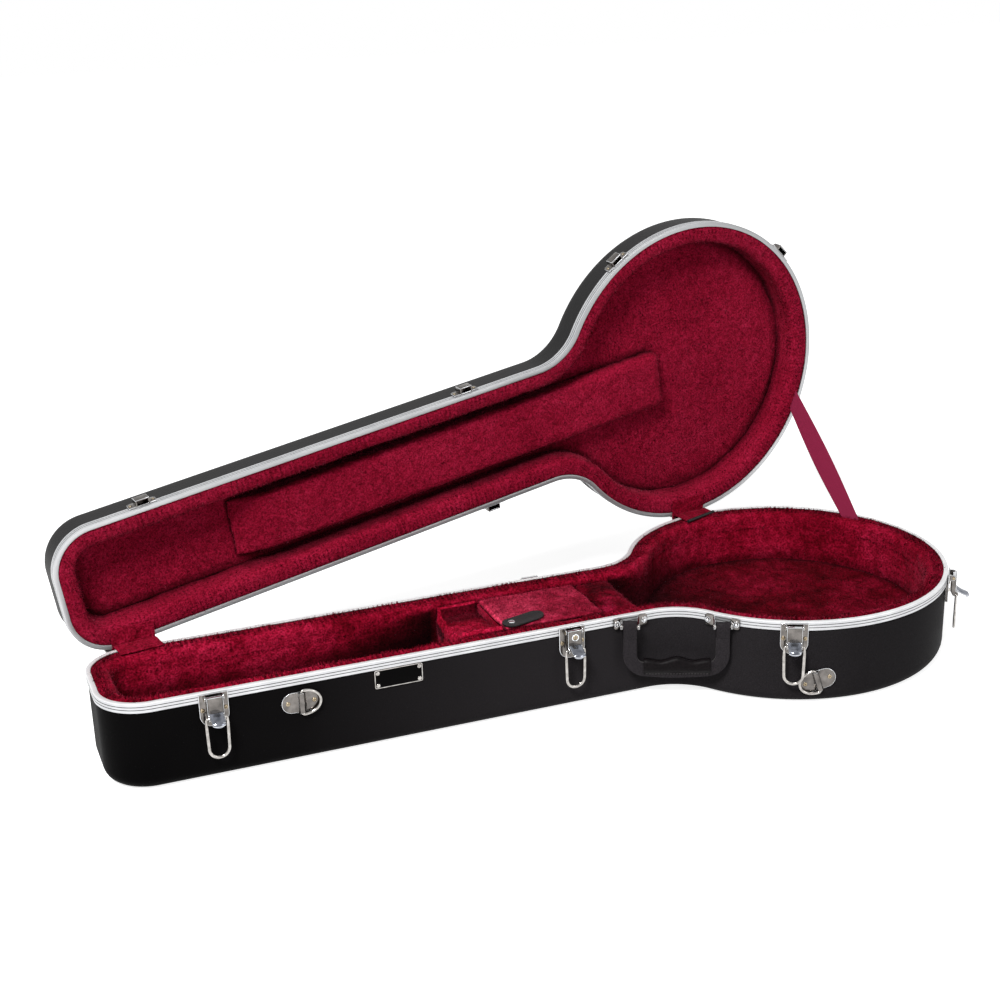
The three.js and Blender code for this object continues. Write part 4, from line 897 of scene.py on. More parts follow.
# Fur: thin pointed tufts standing out of the plush, thickest along its edges
def tuft(name, body, sources, count, seed, finishName="plush", bias=None, longer=1.0):
    chance = np.random.default_rng(seed)
    spots, normals, weights, darks = [], [], [], []
    for thing in sources:
        mesh = thing.data
        corner = readItems(mesh.loops, "vertex_index", kind=int)[readItems(mesh.polygons, "loop_start", kind=int)]
        darks.append(readItems(mesh.color_attributes["pileShade"].data, "color", 4)[corner, 0])
        world = np.array(thing.matrix_world)
        middles = readItems(mesh.polygons, "center", 3) @ world[:3, :3].T + world[:3, 3]
        facing = readItems(mesh.polygons, "normal", 3) @ world[:3, :3].T
        areas = readItems(mesh.polygons, "area")
        spots.append(middles)
        normals.append(facing)
        weights.append(areas * bias(middles / mm) if bias else areas)
    spots, normals, weights = np.concatenate(spots), np.concatenate(normals), np.concatenate(weights)
    picked = chance.choice(len(spots), size=count, p=weights / weights.sum())
    base, out, darks = spots[picked] / mm, normals[picked], np.concatenate(darks)[picked]
    across = unit(np.cross(out, chance.normal(size=(count, 3))))
    base = base + across * chance.uniform(-furLook["spread"], furLook["spread"], (count, 1)) - out * furLook["sunk"]
    nap = np.array([noise.noise_vector(Vector(p) / furLook["napSize"]) for p in base]) * furLook["nap"]
    length = furLook["length"] * longer * chance.uniform(*furLook["lengths"], (count, 1))
    direction = out + nap + chance.normal(0, furLook["stray"], (count, 3))
    direction += out * np.maximum(furLook["lowest"] - (direction * out).sum(1), 0)[:, None]
    direction = unit(direction)
    wide = across * furLook["width"] * chance.uniform(*furLook["widths"], (count, 1))
    points = np.stack([base - wide, base + wide, base + direction * length], 1).reshape(-1, 3) * mm
    mesh = bpy.data.meshes.new(name)
    mesh.from_pydata(points.tolist(), [], [(3 * i, 3 * i + 1, 3 * i + 2) for i in range(count)])
    mesh.materials.append(finish[finishName + "Fur"])
    # painted shade: each tuft takes the crease shade painted under it and is darker at its root; its random brightness
    # is the pile's own tone
    shade = (darks * chance.uniform(furLook["dark"], furLook["bright"], count))[:, None]
    setShade(mesh, shade * np.array([[furLook["root"], furLook["root"], 1.0]]))
    facing = unit(out + nap * 0.4 + chance.normal(0, 0.25, (count, 3)))
    mesh.normals_split_custom_set_from_vertices(np.repeat(facing, 3, axis=0).tolist())
    thing = addObject(name, mesh)
    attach(thing, body)
    return thing


def nearBaseTop(points):
    drop = case["baseDepth"] - points[:, 2]
    return np.where(drop < 2, 2.2, np.where(drop < 24, 0.9, 0.35))


def topOnly(points):
    return np.where(case["baseDepth"] - points[:, 2] < 1.8, 1.0, 0.0)


def nearLidEdge(points):
    outward = (points - hingePoint) @ hingeOut
    return np.where(outward < 14, 1.3, 0.5)


tuft("base_ring_fur", "base", [basePadding], furLook["paddingTufts"], 41, bias=nearBaseTop)
tuft("base_edge_fur", "base", [basePadding], furLook["edgeTufts"], 50, bias=topOnly, longer=1.5)
tuft("lid_ring_fur", "lid", [lidPadding], furLook["paddingTufts"], 42, "lidPlush", nearLidEdge)
tuft("well_floor_fur", "base", [wellFloor], furLook["floorTufts"] // 2, 46, "floorPlush")
tuft("neck_floor_fur", "base", [neckFloor], furLook["floorTufts"] // 2, 49)
tuft("lid_panel_fur", "lid", [lidFloor], furLook["floorTufts"], 47, "lidPlush")
tuft("heel_fur", "base", [heel], furLook["blockTufts"] // 2, 43, "heelPlush")
tuft("cradle_fur", "base", [cradle], furLook["blockTufts"] // 2, 48)
tuft("cover_fur", "compartment_cover", [cover], furLook["blockTufts"] // 2, 44, "coverPlush")
tuft("lid_neck_fur", "lid", [lidPad], furLook["blockTufts"] * 2, 45, "lidPlush")
print("fur made")

# Cloth that crosses the hinge: two plush flaps and the stay ribbon
flaps = {"places": (-760, 4), "reaches": ((23, 23), (27, 15)), "length": 50, "reachUp": 28.6, "thickness": 1.2,
         "steps": 22, "bound": 2, "binding": 2.1, "past": 2.0, "shade": 0.85}


def buildFlap(number, place):
    rise = hinge["drop"] + 0.3 + flaps["thickness"] / 2
    past = flaps["past"]
    reachLeft, reachRight = flaps["reaches"][number - 1]
    inward = np.linspace(-max(reachLeft, reachRight), past, flaps["steps"])
    path = [(out, rise) for out in inward]
    c, s = math.cos(hinge["openAngle"]), math.sin(hinge["openAngle"])
    lidRise = hinge["drop"] + case["closingGap"] - 0.3 - flaps["thickness"] / 2
    upper = []
    for reach in np.linspace(-1.0, -flaps["reachUp"], flaps["steps"]):
        upper.append((reach * c + lidRise * s, lidRise * c - reach * s))
    corner = np.array([path[-1], (upper[0][0] - 0.4, path[-1][1] + 0.2), upper[0]])
    bend = [tuple((1 - t) ** 2 * corner[0] + 2 * t * (1 - t) * corner[1] + t * t * corner[2])
            for t in (0.25, 0.5, 0.75)]
    path = np.array(path + bend + upper)
    half = flaps["length"] / 2
    across = np.linspace(-half, half, 15)
    cut = (past + reachLeft + (reachRight - reachLeft) * (across + half) / (2 * half)) / (past - inward[0])
    travel = unit(np.gradient(path, axis=0))
    sides = []
    for level in (-0.5, 0.5):
        rows = []
        for k, ((out, up), (goOut, goUp)) in enumerate(zip(path, travel)):
            shift = level * flaps["thickness"]
            row = [hingePoint + hingeAlong * (place + a)
                   + hingeOut * ((past + (out - past) * share if k < flaps["steps"] else out) - goUp * shift)
                   + np.array([0, 0, up + goOut * shift]) for a, share in zip(across, cut)]
            rows.append(row)
        sides.append(rows)
    rings = [sides[0][i] + sides[1][i][::-1] for i in range(len(path))]
    piece = newPiece()
    addPart(piece, *skin(rings), "plush", 0.4)
    thing = endPiece(piece, f"hinge_flap_cloth_{number}", None, [f"hinge_flap_{number}"], 80)
    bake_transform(thing)
    setShade(thing.data, flaps["shade"])
    if number == flaps["bound"]:
        lowEdge = np.array([(np.array(low) + np.array(high)) / 2 for low, high in zip(sides[0][0], sides[1][0])])
        rolled = newPiece()
        wire(rolled, lowEdge + np.array([0, 0, 0.5]), flaps["binding"], "tab", sides=10)
        endPiece(rolled, "hinge_flap_binding", "base")


for number, place in enumerate(flaps["places"], 1):
    buildFlap(number, place)

ribbon = {"width": 25, "thickness": 1.0, "baseInset": 10.3, "baseAngle": 31.35, "lidInset": 4.7, "lidAngle": 28.7,
          "drop": 1.7, "steps": 60}


def buildRibbon():
    def end(inset, degrees, height):
        angle = math.radians(degrees)
        outward = np.array([math.cos(angle), math.sin(angle), 0])
        middle = outward * (case["bodyRadius"] - inset)
        middle[2] = height
        return middle, outward, np.array([-outward[1], outward[0], 0])
    low, lowThick, lowWide = end(ribbon["baseInset"], ribbon["baseAngle"], case["baseDepth"] - ribbon["drop"])
    high, highThick, highWide = end(ribbon["lidInset"], ribbon["lidAngle"],
                                    case["baseDepth"] + case["closingGap"] + ribbon["drop"])
    turn = opened([high, high + highThick, high + highWide])
    high, highThick, highWide = turn[0], turn[1] - turn[0], turn[2] - turn[0]
    rings = []
    shares = np.linspace(0, 1, ribbon["steps"] + 1)
    for share in shares:
        middle = low * (1 - share) + high * share
        thick = lowThick * (1 - share) + highThick * share
        wide = lowWide * (1 - share) + highWide * share
        thick, wide = thick / np.linalg.norm(thick), wide / np.linalg.norm(wide)
        ring = []
        for side in (-1, 1):
            for a in np.linspace(-1, 1, 9) * side:
                edge = 0.5 - 0.18 * max(abs(a) - 0.8, 0) / 0.2
                ring.append(middle + wide * a * ribbon["width"] / 2 - thick * side * edge * ribbon["thickness"])
        rings.append(ring)
    piece = newPiece()
    addPart(piece, *skin(rings), "ribbon")
    thing = endPiece(piece, "stay_ribbon_cloth", None, ["stay_ribbon"], 50)
    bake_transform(thing)


buildRibbon()
print("flaps and ribbon made")

# Draw latches: pressed plate with two rivets, a folded lever with a thumb lip, and a bent wire bail
latch = {"half": 15.7, "top": -1, "bottom": -38.5, "round": 13, "face": 1.9, "skirtEnd": -11.2, "wallFace": -1.4,
         "rivet": (12.3, -19, 2.5), "rivetHeight": 1.25, "earIn": 9.1, "earOut": 10.5, "pivot": (7, -5),
         "leverHalf": 8.7, "leverOut": 10.6, "wall": 1.5, "faceTop": -2.5, "faceEnd": -22,
         "lip": ((9.9, -20.8), (11.5, -22.3), (14.0, -24.0), (18.0, -26.0), (21.5, -27.3), (23.3, -27.9),
                 (23.9, -28.8), (23.2, -29.5)),
         "lipHalf": 7.3, "lipCrown": 1.3, "lipThickness": 1.3, "bailHalf": 11.4, "bailFoot": 10.7,
         "bailPivot": (11, -25.5), "bailEnd": -71.2, "bailWire": 1.8, "lock": (0, -10.7, 3.1),
         "neckX": -730, "beforeWaist": (101.2, 87.2), "onBody": (-117.3, -37)}


def latchSpots():
    front, rear = latch["beforeWaist"]
    return [sideFrame(latch["neckX"]), sideFrame(waistX - front), *map(bodyFrame, latch["onBody"]),
            sideFrame(waistX - rear, 1)]


def buildLatchPlate(number, spot):
    piece = newPiece()
    half, soft, low = latch["half"], latch["round"], latch["bottom"]
    corners = arcPairs(soft - half, low + soft, soft, 180, 270, 14)
    corners += arcPairs(half - soft, low + soft, soft, 270, 360, 14)
    plate(piece, spot, [(-half, latch["top"])] + corners + [(half, latch["top"])], 0.3, latch["face"], "chrome", 0.5,
          segments=3, edge="bright")
    lower = [(a, u) for a, u in corners if u <= latch["skirtEnd"]]
    plate(piece, spot, [(-half + 0.3, latch["skirtEnd"])] + [(a * 0.98, u + 0.3) for a, u in lower]
          + [(half - 0.3, latch["skirtEnd"])], latch["wallFace"], 0.6, "chrome", 0.2)
    out, up = latch["pivot"]
    ear = [(0.4, -9), (0.4, -1.5)] + arcPairs(out - 0.9, up + 0.2, 3.4, 95, -95, 12)
    for side in (-1, 1):
        edges = sorted((side * latch["earIn"], side * latch["earOut"]))
        bar(piece, spot, ear, edges, "chrome", 0.35, edge="bright")
        peg(piece, spot, out, up, 1.9, sorted((side * latch["earOut"], side * (latch["earOut"] + 0.7))), "brass")
        along, rivetUp, radius = latch["rivet"]
        domedStud(piece, spot, side * along, rivetUp, radius, latch["face"] - 0.1, latch["rivetHeight"], "brass",
                  hollow=True)
    bmesh.ops.recalc_face_normals(piece["mesh"], faces=piece["mesh"].faces)
    endPiece(piece, f"latch_{number}_pressed_plate", "base", [f"latch_{number}_plate"])


def thumbLip(piece, spot):
    path = np.array(latch["lip"])
    fine = []
    for i in range(len(path) - 1):
        fine += [path[i] * (1 - t) + path[i + 1] * t for t in (0, 0.5)]
    path = np.array(fine + [path[-1]])
    travel = unit(np.gradient(path, axis=0))
    above = np.column_stack([-travel[:, 1], travel[:, 0]])
    across = np.linspace(-1, 1, 15)
    rings = []
    count = len(path)
    for k, ((out, up), (liftOut, liftUp)) in enumerate(zip(path, above)):
        share = k / (count - 1)
        narrow = math.sqrt(max(1 - max((share - 0.62) / 0.38, 0) ** 2 * 0.42, 0.1))
        ring = []
        for level in (1, 0):
            for a in across * (1 if level else -1):
                crown = latch["lipCrown"] * (1 - a * a) * min(1, share * 3) + level * latch["lipThickness"]
                droop = 1.1 * a * a * share
                ring.append((a * latch["lipHalf"] * narrow, out + liftOut * crown - droop * 0.6,
                             up + liftUp * crown + droop * 0.3))
        rings.append(inFrame(spot, ring))
    addPart(piece, *skin(rings), "lever", 0.3, edgeHighlight="bright")


def buildLatchLever(number, spot):
    piece = newPiece()
    half, out, wall = latch["leverHalf"], latch["leverOut"], latch["wall"]
    top, end = latch["faceTop"], latch["faceEnd"]
    slab(piece, spot, (-half, half), (out - wall, out), (end, top), "chrome", 0.55, edge="bright")
    # the lever's top fold in the bright copy of the metal, a painted highlight
    slab(piece, spot, (-half + 0.6, half - 0.6), (5.9, out - 0.2), (top - wall, top), "bright", 0.5)
    pivotOut, pivotUp = latch["bailPivot"]
    cheek = [(out, top), (6.2, top), (3.6, -5), (3.6, -22), (7.2, -28.4)]
    cheek += arcPairs(pivotOut - 0.4, pivotUp - 0.4, 3.4, 250, 400, 10) + [(out, end)]
    for side in (-1, 1):
        bar(piece, spot, cheek, sorted((side * (half - wall), side * half)), "chrome", 0.4, edge="bright")
        peg(piece, spot, *latch["pivot"], 1.25, sorted((side * (half - 0.5), side * (latch["earOut"] - 0.2))), "chrome")
    thumbLip(piece, spot)
    if number == 2:
        along, up, radius = latch["lock"]
        face = [(a, u) for a, u in arcPairs(along, up, radius + 1.3, 0, 345, 23)]
        # the lock's face ring in the bright copy, a painted highlight
        plate(piece, spot, face, out - 0.2, out + 0.7, "bright", 0.3)
        domedStud(piece, spot, along, up, radius, out + 0.2, 1.5, "brass")
        # keyhole: a dark slab in the groove copy, painted shade
        slab(piece, spot, (along - 0.35, along + 0.35), (out + 1.2, out + 1.85), (up - 1.7, up + 1.7), "groove", 0.05)
    endPiece(piece, f"latch_{number}_folded_lever", f"lever_{number}", [f"latch_{number}_lever"])


def buildLatchBail(number, spot):
    piece = newPiece()
    half, (out, up), end = latch["bailHalf"], latch["bailPivot"], latch["bailEnd"]
    right = [(7.0, up), (8.4, up), (9.4, up)] + arcPairs(half - 1.9, up - 1.9, 1.9, 80, 0, 5)
    foot = latch["bailFoot"]
    right += [(half, up - 4), (half, up - 7), (half - 0.1, up - 12), (foot + 0.2, end + foot + 6)]
    bowl = arcPairs(0, end + foot, foot, 0, -180, 26)
    left = [(-a, u) for a, u in right[::-1]]
    flat = right + bowl + left
    path = inFrame(spot, [(a, out, u) for a, u in flat])
    thick = [1.25 if u > up - 6 else (1.55 if u > up - 9 else latch["bailWire"]) for a, u in flat]
    wire(piece, path, np.array(thick), "wire", flat=0.82)
    endPiece(piece, f"latch_{number}_wire_bail", f"bail_{number}", [f"latch_{number}_bail"], 60)


# Catches on the lid: a small plate with a hood for the bail
catch = {"half": 16.5, "low": 3.6, "high": 16.6, "round": 5, "face": 1.9, "hoodHalf": 8, "hoodOut": 8.5, "wall": 1.5,
         "rivet": (13.2, 1.9, 0.9)}


def buildCatch(number, spot):
    piece = newPiece()
    half, low, high, hood, soft = catch["half"], catch["low"], catch["high"], catch["hoodHalf"], catch["round"]
    along, radius, tall = catch["rivet"]
    outline = [(-half, low), (half, low)] + arcPairs(half - soft, high - soft, soft, 0, 90, 8)
    outline += arcPairs(soft - half, high - soft, soft, 90, 180, 8)
    plate(piece, spot, outline, 0.35, catch["face"], "chrome", 0.4, opened, edge="bright")
    wall, out = catch["wall"], catch["hoodOut"]
    section = [(0.6, high), (0.6, high - wall), (out - wall - 1.2, high - wall)]
    section += arcPairs(out - wall - 1.2, high - wall - 1.2, 1.2, 90, 0, 4)[1:] + [(out - wall, low)]
    section += [(out, low)] + arcPairs(out - 2.6, high - 2.6, 2.6, 0, 90, 6)
    bar(piece, spot, section, (-hood, hood), "chrome", 0.35, opened, edge="bright")
    side = [(0.6, low), (out - 0.4, low), (out - 0.4, high - 2.6), (out - 2.8, high - 0.4), (0.6, high - 0.4)]
    for way in (-1, 1):
        bar(piece, spot, side, sorted((way * hood, way * (hood - wall))), "chrome", 0.3, opened)
        domedStud(piece, spot, way * along, (low + high) / 2, radius, catch["face"] - 0.1, tall, "brass", opened)
    endPiece(piece, f"lid_catch_{number}_hood", "lid", [f"lid_catch_{number}"])


for number, spot in enumerate(latchSpots(), 1):
    buildLatchPlate(number, spot)
    buildLatchLever(number, spot)
    buildLatchBail(number, spot)
    buildCatch(number, spot)
print("latches and catches made")

# Rings on riveted brackets
rings = {"length": 43, "height": 24, "face": 0.1, "wallFace": -1.45, "rivetApart": 29, "rivetRadius": 2.5,
         "saddleHalf": 4.8, "wire": 1.7, "span": 31.6, "depth": 24.4, "barOut": 2.1, "tilt": 197,
         "onNeck": (-636.5, 31), "onBody": (-109, 72.5)}


def ringSpots():
    first, second = sideFrame(rings["onNeck"][0]), bodyFrame(rings["onBody"][0])
    first["origin"][2] -= rings["onNeck"][1]
    second["origin"][2] -= rings["onBody"][1]
    turn = math.radians(rings["tilt"])
    along = second["along"] * math.cos(turn) + second["up"] * math.sin(turn)
    second["up"] = np.cross(second["out"], along)
    second["along"] = along
    return [first, second]


def buildRing(number, spot):
    piece = newPiece()
    soft = rings["height"] / 2
    reach = rings["length"] / 2 - soft
    outline = arcPairs(reach, 0, soft, -90, 90, 20) + arcPairs(-reach, 0, soft, 90, 270, 20)
    plate(piece, spot, outline, rings["wallFace"], rings["face"], "chrome", 0.5, segments=3, edge="bright")
    side, barOut, thick = rings["saddleHalf"], rings["barOut"], rings["wire"]
    hump = [(a, barOut + o) for a, o in arcPairs(0, 0, thick + 1.6, 0, 180, 14)]
    hump = [(side + 1.2, rings["face"] - 0.1), (side, 0.5)] + hump + [(-side, 0.5), (-side - 1.2, rings["face"] - 0.1)]
    saddle = [inFrame(spot, [(a, out, up) for a, out in hump]) for up in (-soft + 0.1, soft - 0.1)]
    addPart(piece, *skin(saddle), "chrome", 0.3, edgeHighlight="bright")
    for way in (-1, 1):
        domedStud(piece, spot, way * rings["rivetApart"] / 2, 0, rings["rivetRadius"], rings["face"] - 0.1, 1.0,
                  "brass", hollow=True)
    endPiece(piece, f"ring_bracket_{number}_riveted", "base", [f"ring_bracket_{number}"])
    piece = newPiece()
    half, depth = rings["span"] / 2 - thick, rings["depth"] - 2 * thick
    curve = [(depth * math.sin(t) ** 0.85, half * math.cos(t)) for t in np.linspace(0.06, math.pi - 0.06, 40)]
    bottom = [(0, u) for u in np.linspace(-half + 1.6, half - 1.6, 12)]
    path = inFrame(spot, [(a, barOut, u) for a, u in curve + bottom])
    wire(piece, path, thick, "wire", joined=True)
    endPiece(piece, f"d_ring_{number}_wire", f"ring_{number}", [f"d_ring_{number}"], 60)


for number, spot in enumerate(ringSpots(), 1):
    buildRing(number, spot)

# Nameplate, bare, with a bright edge and four screws
badge = {"x": -526.5, "width": 55, "height": 22, "drop": 11, "face": 0.3, "wallFace": -1.45, "round": 2.2, "edge": 1.0,
         "screw": 2.3, "screwInset": 3.7}


def roundedOutline(half, tall, middle, soft, steps=6):
    outline = []
    for x, y, turn in ((1, 1, 0), (-1, 1, 90), (-1, -1, 180), (1, -1, 270)):
        outline += arcPairs(x * (half - soft), middle + y * (tall - soft), soft, turn, turn + 90, steps)
    return outline


def buildNameplate():
    piece = newPiece()
    spot = sideFrame(badge["x"])
    half, tall = badge["width"] / 2, badge["height"] / 2
    middle = -badge["drop"] - tall
    plate(piece, spot, roundedOutline(half, tall, middle, badge["round"]), badge["wallFace"], badge["face"] - 0.15,
          "wire", 0.2)
    edge = badge["edge"]
    plate(piece, spot, roundedOutline(half - edge, tall - edge, middle, badge["round"] - 0.8), badge["wallFace"],
          badge["face"], "nameplate", 0.15)
    for x in (-1, 1):
        for y in (-1, 1):
            along, up = x * (half - badge["screwInset"]), middle + y * (tall - badge["screwInset"])
            domedStud(piece, spot, along, up, badge["screw"], badge["face"] - 0.1, 0.75, "wire")
    endPiece(piece, "nameplate_bare", "base", ["nameplate"])


buildNameplate()
print("rings and nameplate made")

# Carrying handle: a broad strap from two looped ends, with a stitched grip in the middle
handle = {"before": 34.7, "near": 10.5, "far": 5.8, "span": 121.5, "start": 6.5, "width": 16, "thickness": 4,
          "drop": 10, "bottom": 73, "round": 27, "innerRound": 8, "innerTop": 54, "loop": 4, "loopRise": (1.9, 1.45),
          "bar": 1.8, "stitch": ((0, 2.35, -0.2), (0.15, 2.75, 0), (0.45, 2.75, 0), (0.6, 2.35, 0.2)),
          "gripStart": 17, "gripEnd": 93.5, "gripTop": 50, "gripBottom": 69, "gripThickness": 12.6, "hump": 4.3,
          "stitchUp": -67.6, "stitches": 21, "footShift": 4.6, "footWidth": 11, "footTop": 1.4, "footHeight": 13,
          "earGap": 0.8, "earThickness": 2.0, "feet": ((0, -1, 6), (0, 1, 15), (1, -1, 15), (1, 1, 5))}


def handleSpot():
    start = np.array([waistX - handle["before"], -case["neckHalfWidth"] - case["rimWidth"] - handle["near"]])
    far = outside + handle["far"]
    near, reach = np.hypot(*start), handle["span"] - handle["start"]
    angle = math.atan2(start[1], start[0]) + math.acos((near ** 2 + far ** 2 - reach ** 2) / (2 * near * far))
    along = far * np.array([math.cos(angle), math.sin(angle)]) - start
    along /= np.linalg.norm(along)
    return wallFrame((start[0], start[1], case["baseDepth"]), (along[1], -along[0], 0))


def strapEdges():
    far = handle["span"] - handle["start"]
    return [(-handle["start"], handle["width"] - handle["start"]), (far - handle["width"], far)]


def buildStrap(spot):
    piece = newPiece()
    (left, leftIn), (rightIn, right) = strapEdges()
    soft, inner, low = handle["round"], handle["innerRound"], -handle["bottom"]
    top = -handle["drop"] + 1
    sag = [(left + soft + (right - left - 2 * soft) * t, low + 1.6 * (1 - math.sin(math.pi * t))) for t in
           np.linspace(0, 1, 15)]
    lower = arcPairs(left + soft, low + 1.6 + soft, soft, 180, 270, 16)[:-1] + sag
    lower += arcPairs(right - soft, low + 1.6 + soft, soft, 270, 360, 16)[1:]
    innerTop = -handle["innerTop"]
    upper = arcPairs(rightIn - inner, innerTop + inner, inner, 0, -90, 8)
    upper += arcPairs(leftIn + inner, innerTop + inner, inner, -90, -180, 8)
    outline = [(left + 0.6, top)] + lower + [(right - 0.6, top), (rightIn + 0.6, top)] + upper + [(leftIn - 0.6, top)]
    half = handle["thickness"] / 2
    plate(piece, spot, outline, -half, half, "strap", 0.9, segments=3)
    facing = Vector(spot["out"])
    piece["finishes"].append("strapEdge")
    for face in piece["mesh"].faces:
        if abs(face.normal.dot(facing)) < 0.5:
            face.material_index = 1
    for edges, rise in zip(strapEdges(), handle["loopRise"]):
        loop = [(0, -24), (-2.6, -24)]
        loop += [(o, -handle["drop"] + (u + handle["drop"]) * (rise if u > -handle["drop"] else 1))
                 for o, u in arcPairs(0, -handle["drop"], handle["loop"], 205, -25, 16)] + [(2.6, -24)]
        bar(piece, spot, loop, (edges[0] + 0.3, edges[1] - 0.3), "strap", 0.7)
    endPiece(piece, "handle_strap_leather", "handle", ["handle_strap"])


def buildGrip(spot):
    piece = newPiece()
    half = handle["gripThickness"] / 2
    section = [(0.34, 0), (0.42, 0.1), (0.7, 0.22), (0.93, 0.38), (1, 0.58), (0.93, 0.78), (0.7, 0.93), (0.35, 0.995),
               (0, 1)]
    section = section + [(-o, u) for o, u in section[-2::-1]]
    rounds = []
    stations = np.linspace(0, 1, 41)
    for t in stations:
        along = handle["gripStart"] + (handle["gripEnd"] - handle["gripStart"]) * t
        wave = 0.4 * (math.cos(2 * math.pi * t) + 1) / 2 - 0.35 * math.exp(-((abs(t - 0.5) - 0.27) / 0.1) ** 2)
        wave += 1.0 * math.exp(-((t - 0.5) / 0.13) ** 2)
        pinch = 1 - 0.08 * math.exp(-(min(t, 1 - t) / 0.02) ** 2)
        top = -handle["gripTop"] + handle["hump"] * (wave - 0.25)
        bottom = -handle["gripBottom"]
        rounds.append(inFrame(spot, [(along, half * o * pinch, bottom + (top - bottom) * u) for o, u in section]))
    addPart(piece, *skin(rounds), "grip", 0.5, angle=50)
    step = (handle["gripEnd"] - handle["gripStart"] - 4) / handle["stitches"]
    for i in range(handle["stitches"]):
        along = handle["gripStart"] + 2 + step * (i + 0.2)
        for side in (-1, 1):
            thread = [(along + step * a, side * out, handle["stitchUp"] + u) for a, out, u in handle["stitch"]]
            wire(piece, inFrame(spot, thread), 0.32, "strapEdge", sides=6)
    endPiece(piece, "handle_grip_leather", "handle", ["handle_grip"])


def buildHandleFittings(spot):
    for number, (low, high) in enumerate(strapEdges(), 1):
        piece = newPiece()
        reach = handle["earGap"] + handle["earThickness"] + 0.8
        peg(piece, spot, 0, -handle["drop"], handle["bar"], (low - reach, high + reach), "chrome")
        endPiece(piece, f"handle_bar_{number}_steel", "base", [f"handle_bar_{number}"])
    for number, (strap, side, deep) in enumerate(handle["feet"], 1):
        low, high = strapEdges()[strap]
        inner = low - handle["earGap"] if side < 0 else high + handle["earGap"]
        buildHandleFoot(number, spot, strap, side, inner, deep)


def footSpot(spot, strap, side, place):
    start = inFrame(spot, [(place, 0, 0)])[0]
    out = spot["out"]
    if strap == 0:
        walk = (-case["neckHalfWidth"] - case["rimWidth"] - start[1]) / out[1]
        return sideFrame(start[0] + walk * out[0] + side * handle["footShift"])
    start[2] = 0
    ahead = start @ out
    start = start + out * (math.sqrt(ahead ** 2 - start @ start + outside ** 2) - ahead)
    return bodyFrame(math.degrees(math.atan2(start[1], start[0]) + side * handle["footShift"] / outside))


def buildHandleFoot(number, spot, strap, side, inner, deep):
    piece = newPiece()
    edges = sorted((inner, inner + side * handle["earThickness"]))
    wall = footSpot(spot, strap, side, inner + side * handle["earThickness"] / 2)
    half, top = handle["footWidth"] / 2, -handle["footTop"]
    low = top - handle["footHeight"]
    plate(piece, wall, roundedOutline(half, (top - low) / 2, (top + low) / 2, 2.6), 0.3, 2.3, "chrome", 0.45)
    tip = handle["bar"] + 2.0
    middle = -handle["drop"]
    ear = [(-deep, low + 1), (-deep, top - 1), (-2, middle + tip)] + arcPairs(0, middle, tip, 80, -80, 10)
    bar(piece, spot, ear, edges, "chrome", 0.4, edge="bright")
    # the stud's bright ring and small bright dome over a darker one are a painted highlight
    turnedRim = [(2.2, 3.7), (3.2, 3.6), (3.5, 3.1), (3.2, 2.6), (2.6, 2.4)]
    addPart(piece, *turnedRings(wall, (side * half * 0.3, (top + low) / 2), turnedRim, "out"), "bright")
    domedStud(piece, wall, side * half * 0.3, (top + low) / 2, 2.1, 2.5, 1.7, "chrome")
    domedStud(piece, wall, side * half * 0.3, (top + low) / 2, 1.6, 4.0, 0.45, "bright")
    endPiece(piece, f"handle_bracket_{number}_riveted", "base", [f"handle_bracket_{number}"])


gripSpot = handleSpot()
buildStrap(gripSpot)
buildGrip(gripSpot)
buildHandleFittings(gripSpot)
print("handle made")

# Pull tab of the compartment cover
pull = {"x": -377.8, "y": -37, "top": 100.3, "turn": 12, "length": 42, "width": 22, "thickness": 1.6, "rivet": 4.0,
        "lift": 2.2}


def buildPullTab():
    turn = math.radians(pull["turn"])
    spot = wallFrame((pull["x"], pull["y"], pull["top"]), (0, 0, 1), (-math.sin(turn), math.cos(turn), 0))
    half = pull["width"] / 2
    ends = arcPairs(0, 0, half, 90, 270, 20) + arcPairs(pull["length"] - half, 0, half, -90, 90, 20)
    edge = np.array(ends)
    rounds = []
    for level, shrink in ((0.1, 0.96), (0.0, 0.99), (0.25, 1.0), (0.75, 1.0), (1.0, 0.98), (1.05, 0.92), (0.98, 0.86)):
        ring = edge * [1, shrink]
        ring = [(a, pull["thickness"] * level + pull["lift"] * (max(a, 0) / pull["length"]) ** 2, u) for a, u in ring]
        rounds.append(inFrame(spot, ring))
    piece = newPiece()
    addPart(piece, *skin(rounds), "tab")
    endPiece(piece, "pull_tab_leather", "compartment_cover", ["pull_tab"])
    piece = newPiece()
    domedStud(piece, spot, 0, 0, pull["rivet"], pull["thickness"], 1.6, "bright")
    endPiece(piece, "pull_tab_stud", "compartment_cover", ["pull_tab_rivet"])


buildPullTab()

for name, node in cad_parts.items():
    if name.startswith("hinge_") and not name.startswith("hinge_flap"):
        node.data.materials.clear()
        node.data.materials.append(finish["chrome"])
print("pull tab and hinges made")

# Floor, lamps and the white room
room = {"floor": 9.0, "level": -0.0005, "floorColour": (0.82, 0.82, 0.82), "glow": 0.82, "farGlow": 1.0,
        "near": 0.9, "far": 2.4, "ambient": 0.2}


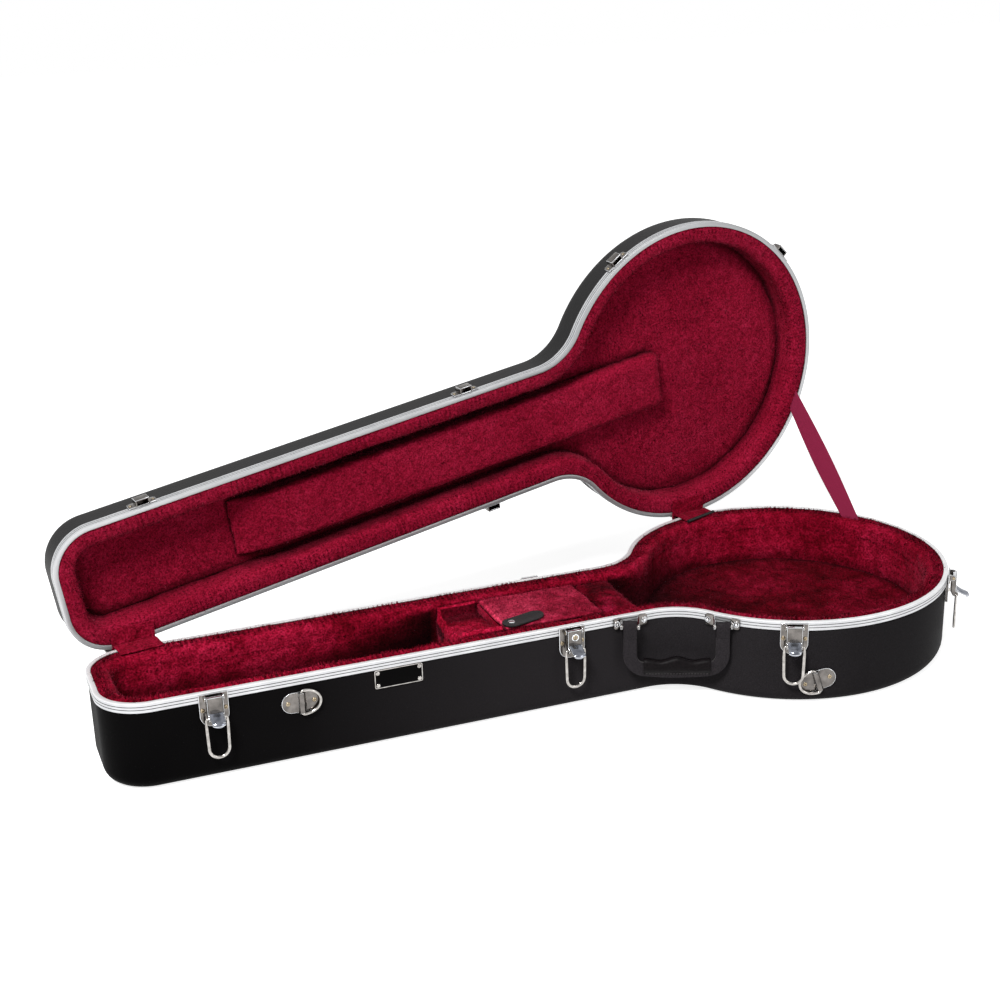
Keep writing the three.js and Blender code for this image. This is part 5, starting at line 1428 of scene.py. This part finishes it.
def buildFloorPlane():
    material, tree, where, shader = newMaterial("studioFloor")
    path = tree.nodes.new("ShaderNodeLightPath").outputs
    seen = mathNode(tree, "MAXIMUM", path["Is Camera Ray"], path["Is Glossy Ray"])
    away = tree.nodes.new("ShaderNodeVectorMath")
    away.operation = "LENGTH"
    tree.links.new(where, away.inputs[0])
    level = rangeNode(tree, away.outputs["Value"], room["glow"], room["farGlow"], room["near"], room["far"])
    speck = noiseNode(tree, where, 3, 2)
    setInputs(tree, shader, {
        "Base Color": rampNode(tree, speck, [(0.0, room["floorColour"]), (1.0, room["floorColour"])]),
        "Roughness": 0.95, "Specular IOR Level": 0.0, "Emission Color": (1, 1, 1),
        "Emission Strength": mathNode(tree, "MULTIPLY", seen, level)})
    mesh = bpy.data.meshes.new("studioFloor")
    half = room["floor"]
    corners = [(x * half, y * half, room["level"]) for x, y in ((-1, -1), (1, -1), (1, 1), (-1, 1))]
    mesh.from_pydata(corners, [], [(0, 1, 2, 3)])
    mesh.materials.append(material)
    addObject("studioFloor", mesh)


def buildWorld():
    world = bpy.data.worlds.new("studioWorld")
    bpy.context.scene.world = world
    world.use_nodes = True
    tree = world.node_tree
    path = tree.nodes.new("ShaderNodeLightPath").outputs
    seen = mathNode(tree, "MAXIMUM", path["Is Camera Ray"], path["Is Glossy Ray"])
    seen = mathNode(tree, "MAXIMUM", seen, path["Is Transmission Ray"])
    level = mathNode(tree, "MULTIPLY_ADD", seen, 1 - room["ambient"], room["ambient"])
    setInputs(tree, tree.nodes["Background"], {"Color": (1, 1, 1), "Strength": level})


lamps = {"key": ((-2.0, -1.9, 2.9), 1.0, 150), "fill": ((1.3, -2.6, 1.2), 1.4, 18)}  # place, size, power
lampAim = Vector((-0.25, 0.0, 0.12))


def buildLamps():
    for name, (place, size, power) in lamps.items():
        data = bpy.data.lights.new(name, "AREA")
        data.shape, data.size, data.energy = "DISK", size, power
        lamp = addObject(name, data)
        lamp.location = place
        lamp.rotation_euler = (lampAim - lamp.location).to_track_quat("-Z", "Y").to_euler()


buildFloorPlane()
buildWorld()
buildLamps()
bpy.context.scene.view_settings.view_transform = "Standard"
print("room and lamps made")

bpy.context.view_layer.update()
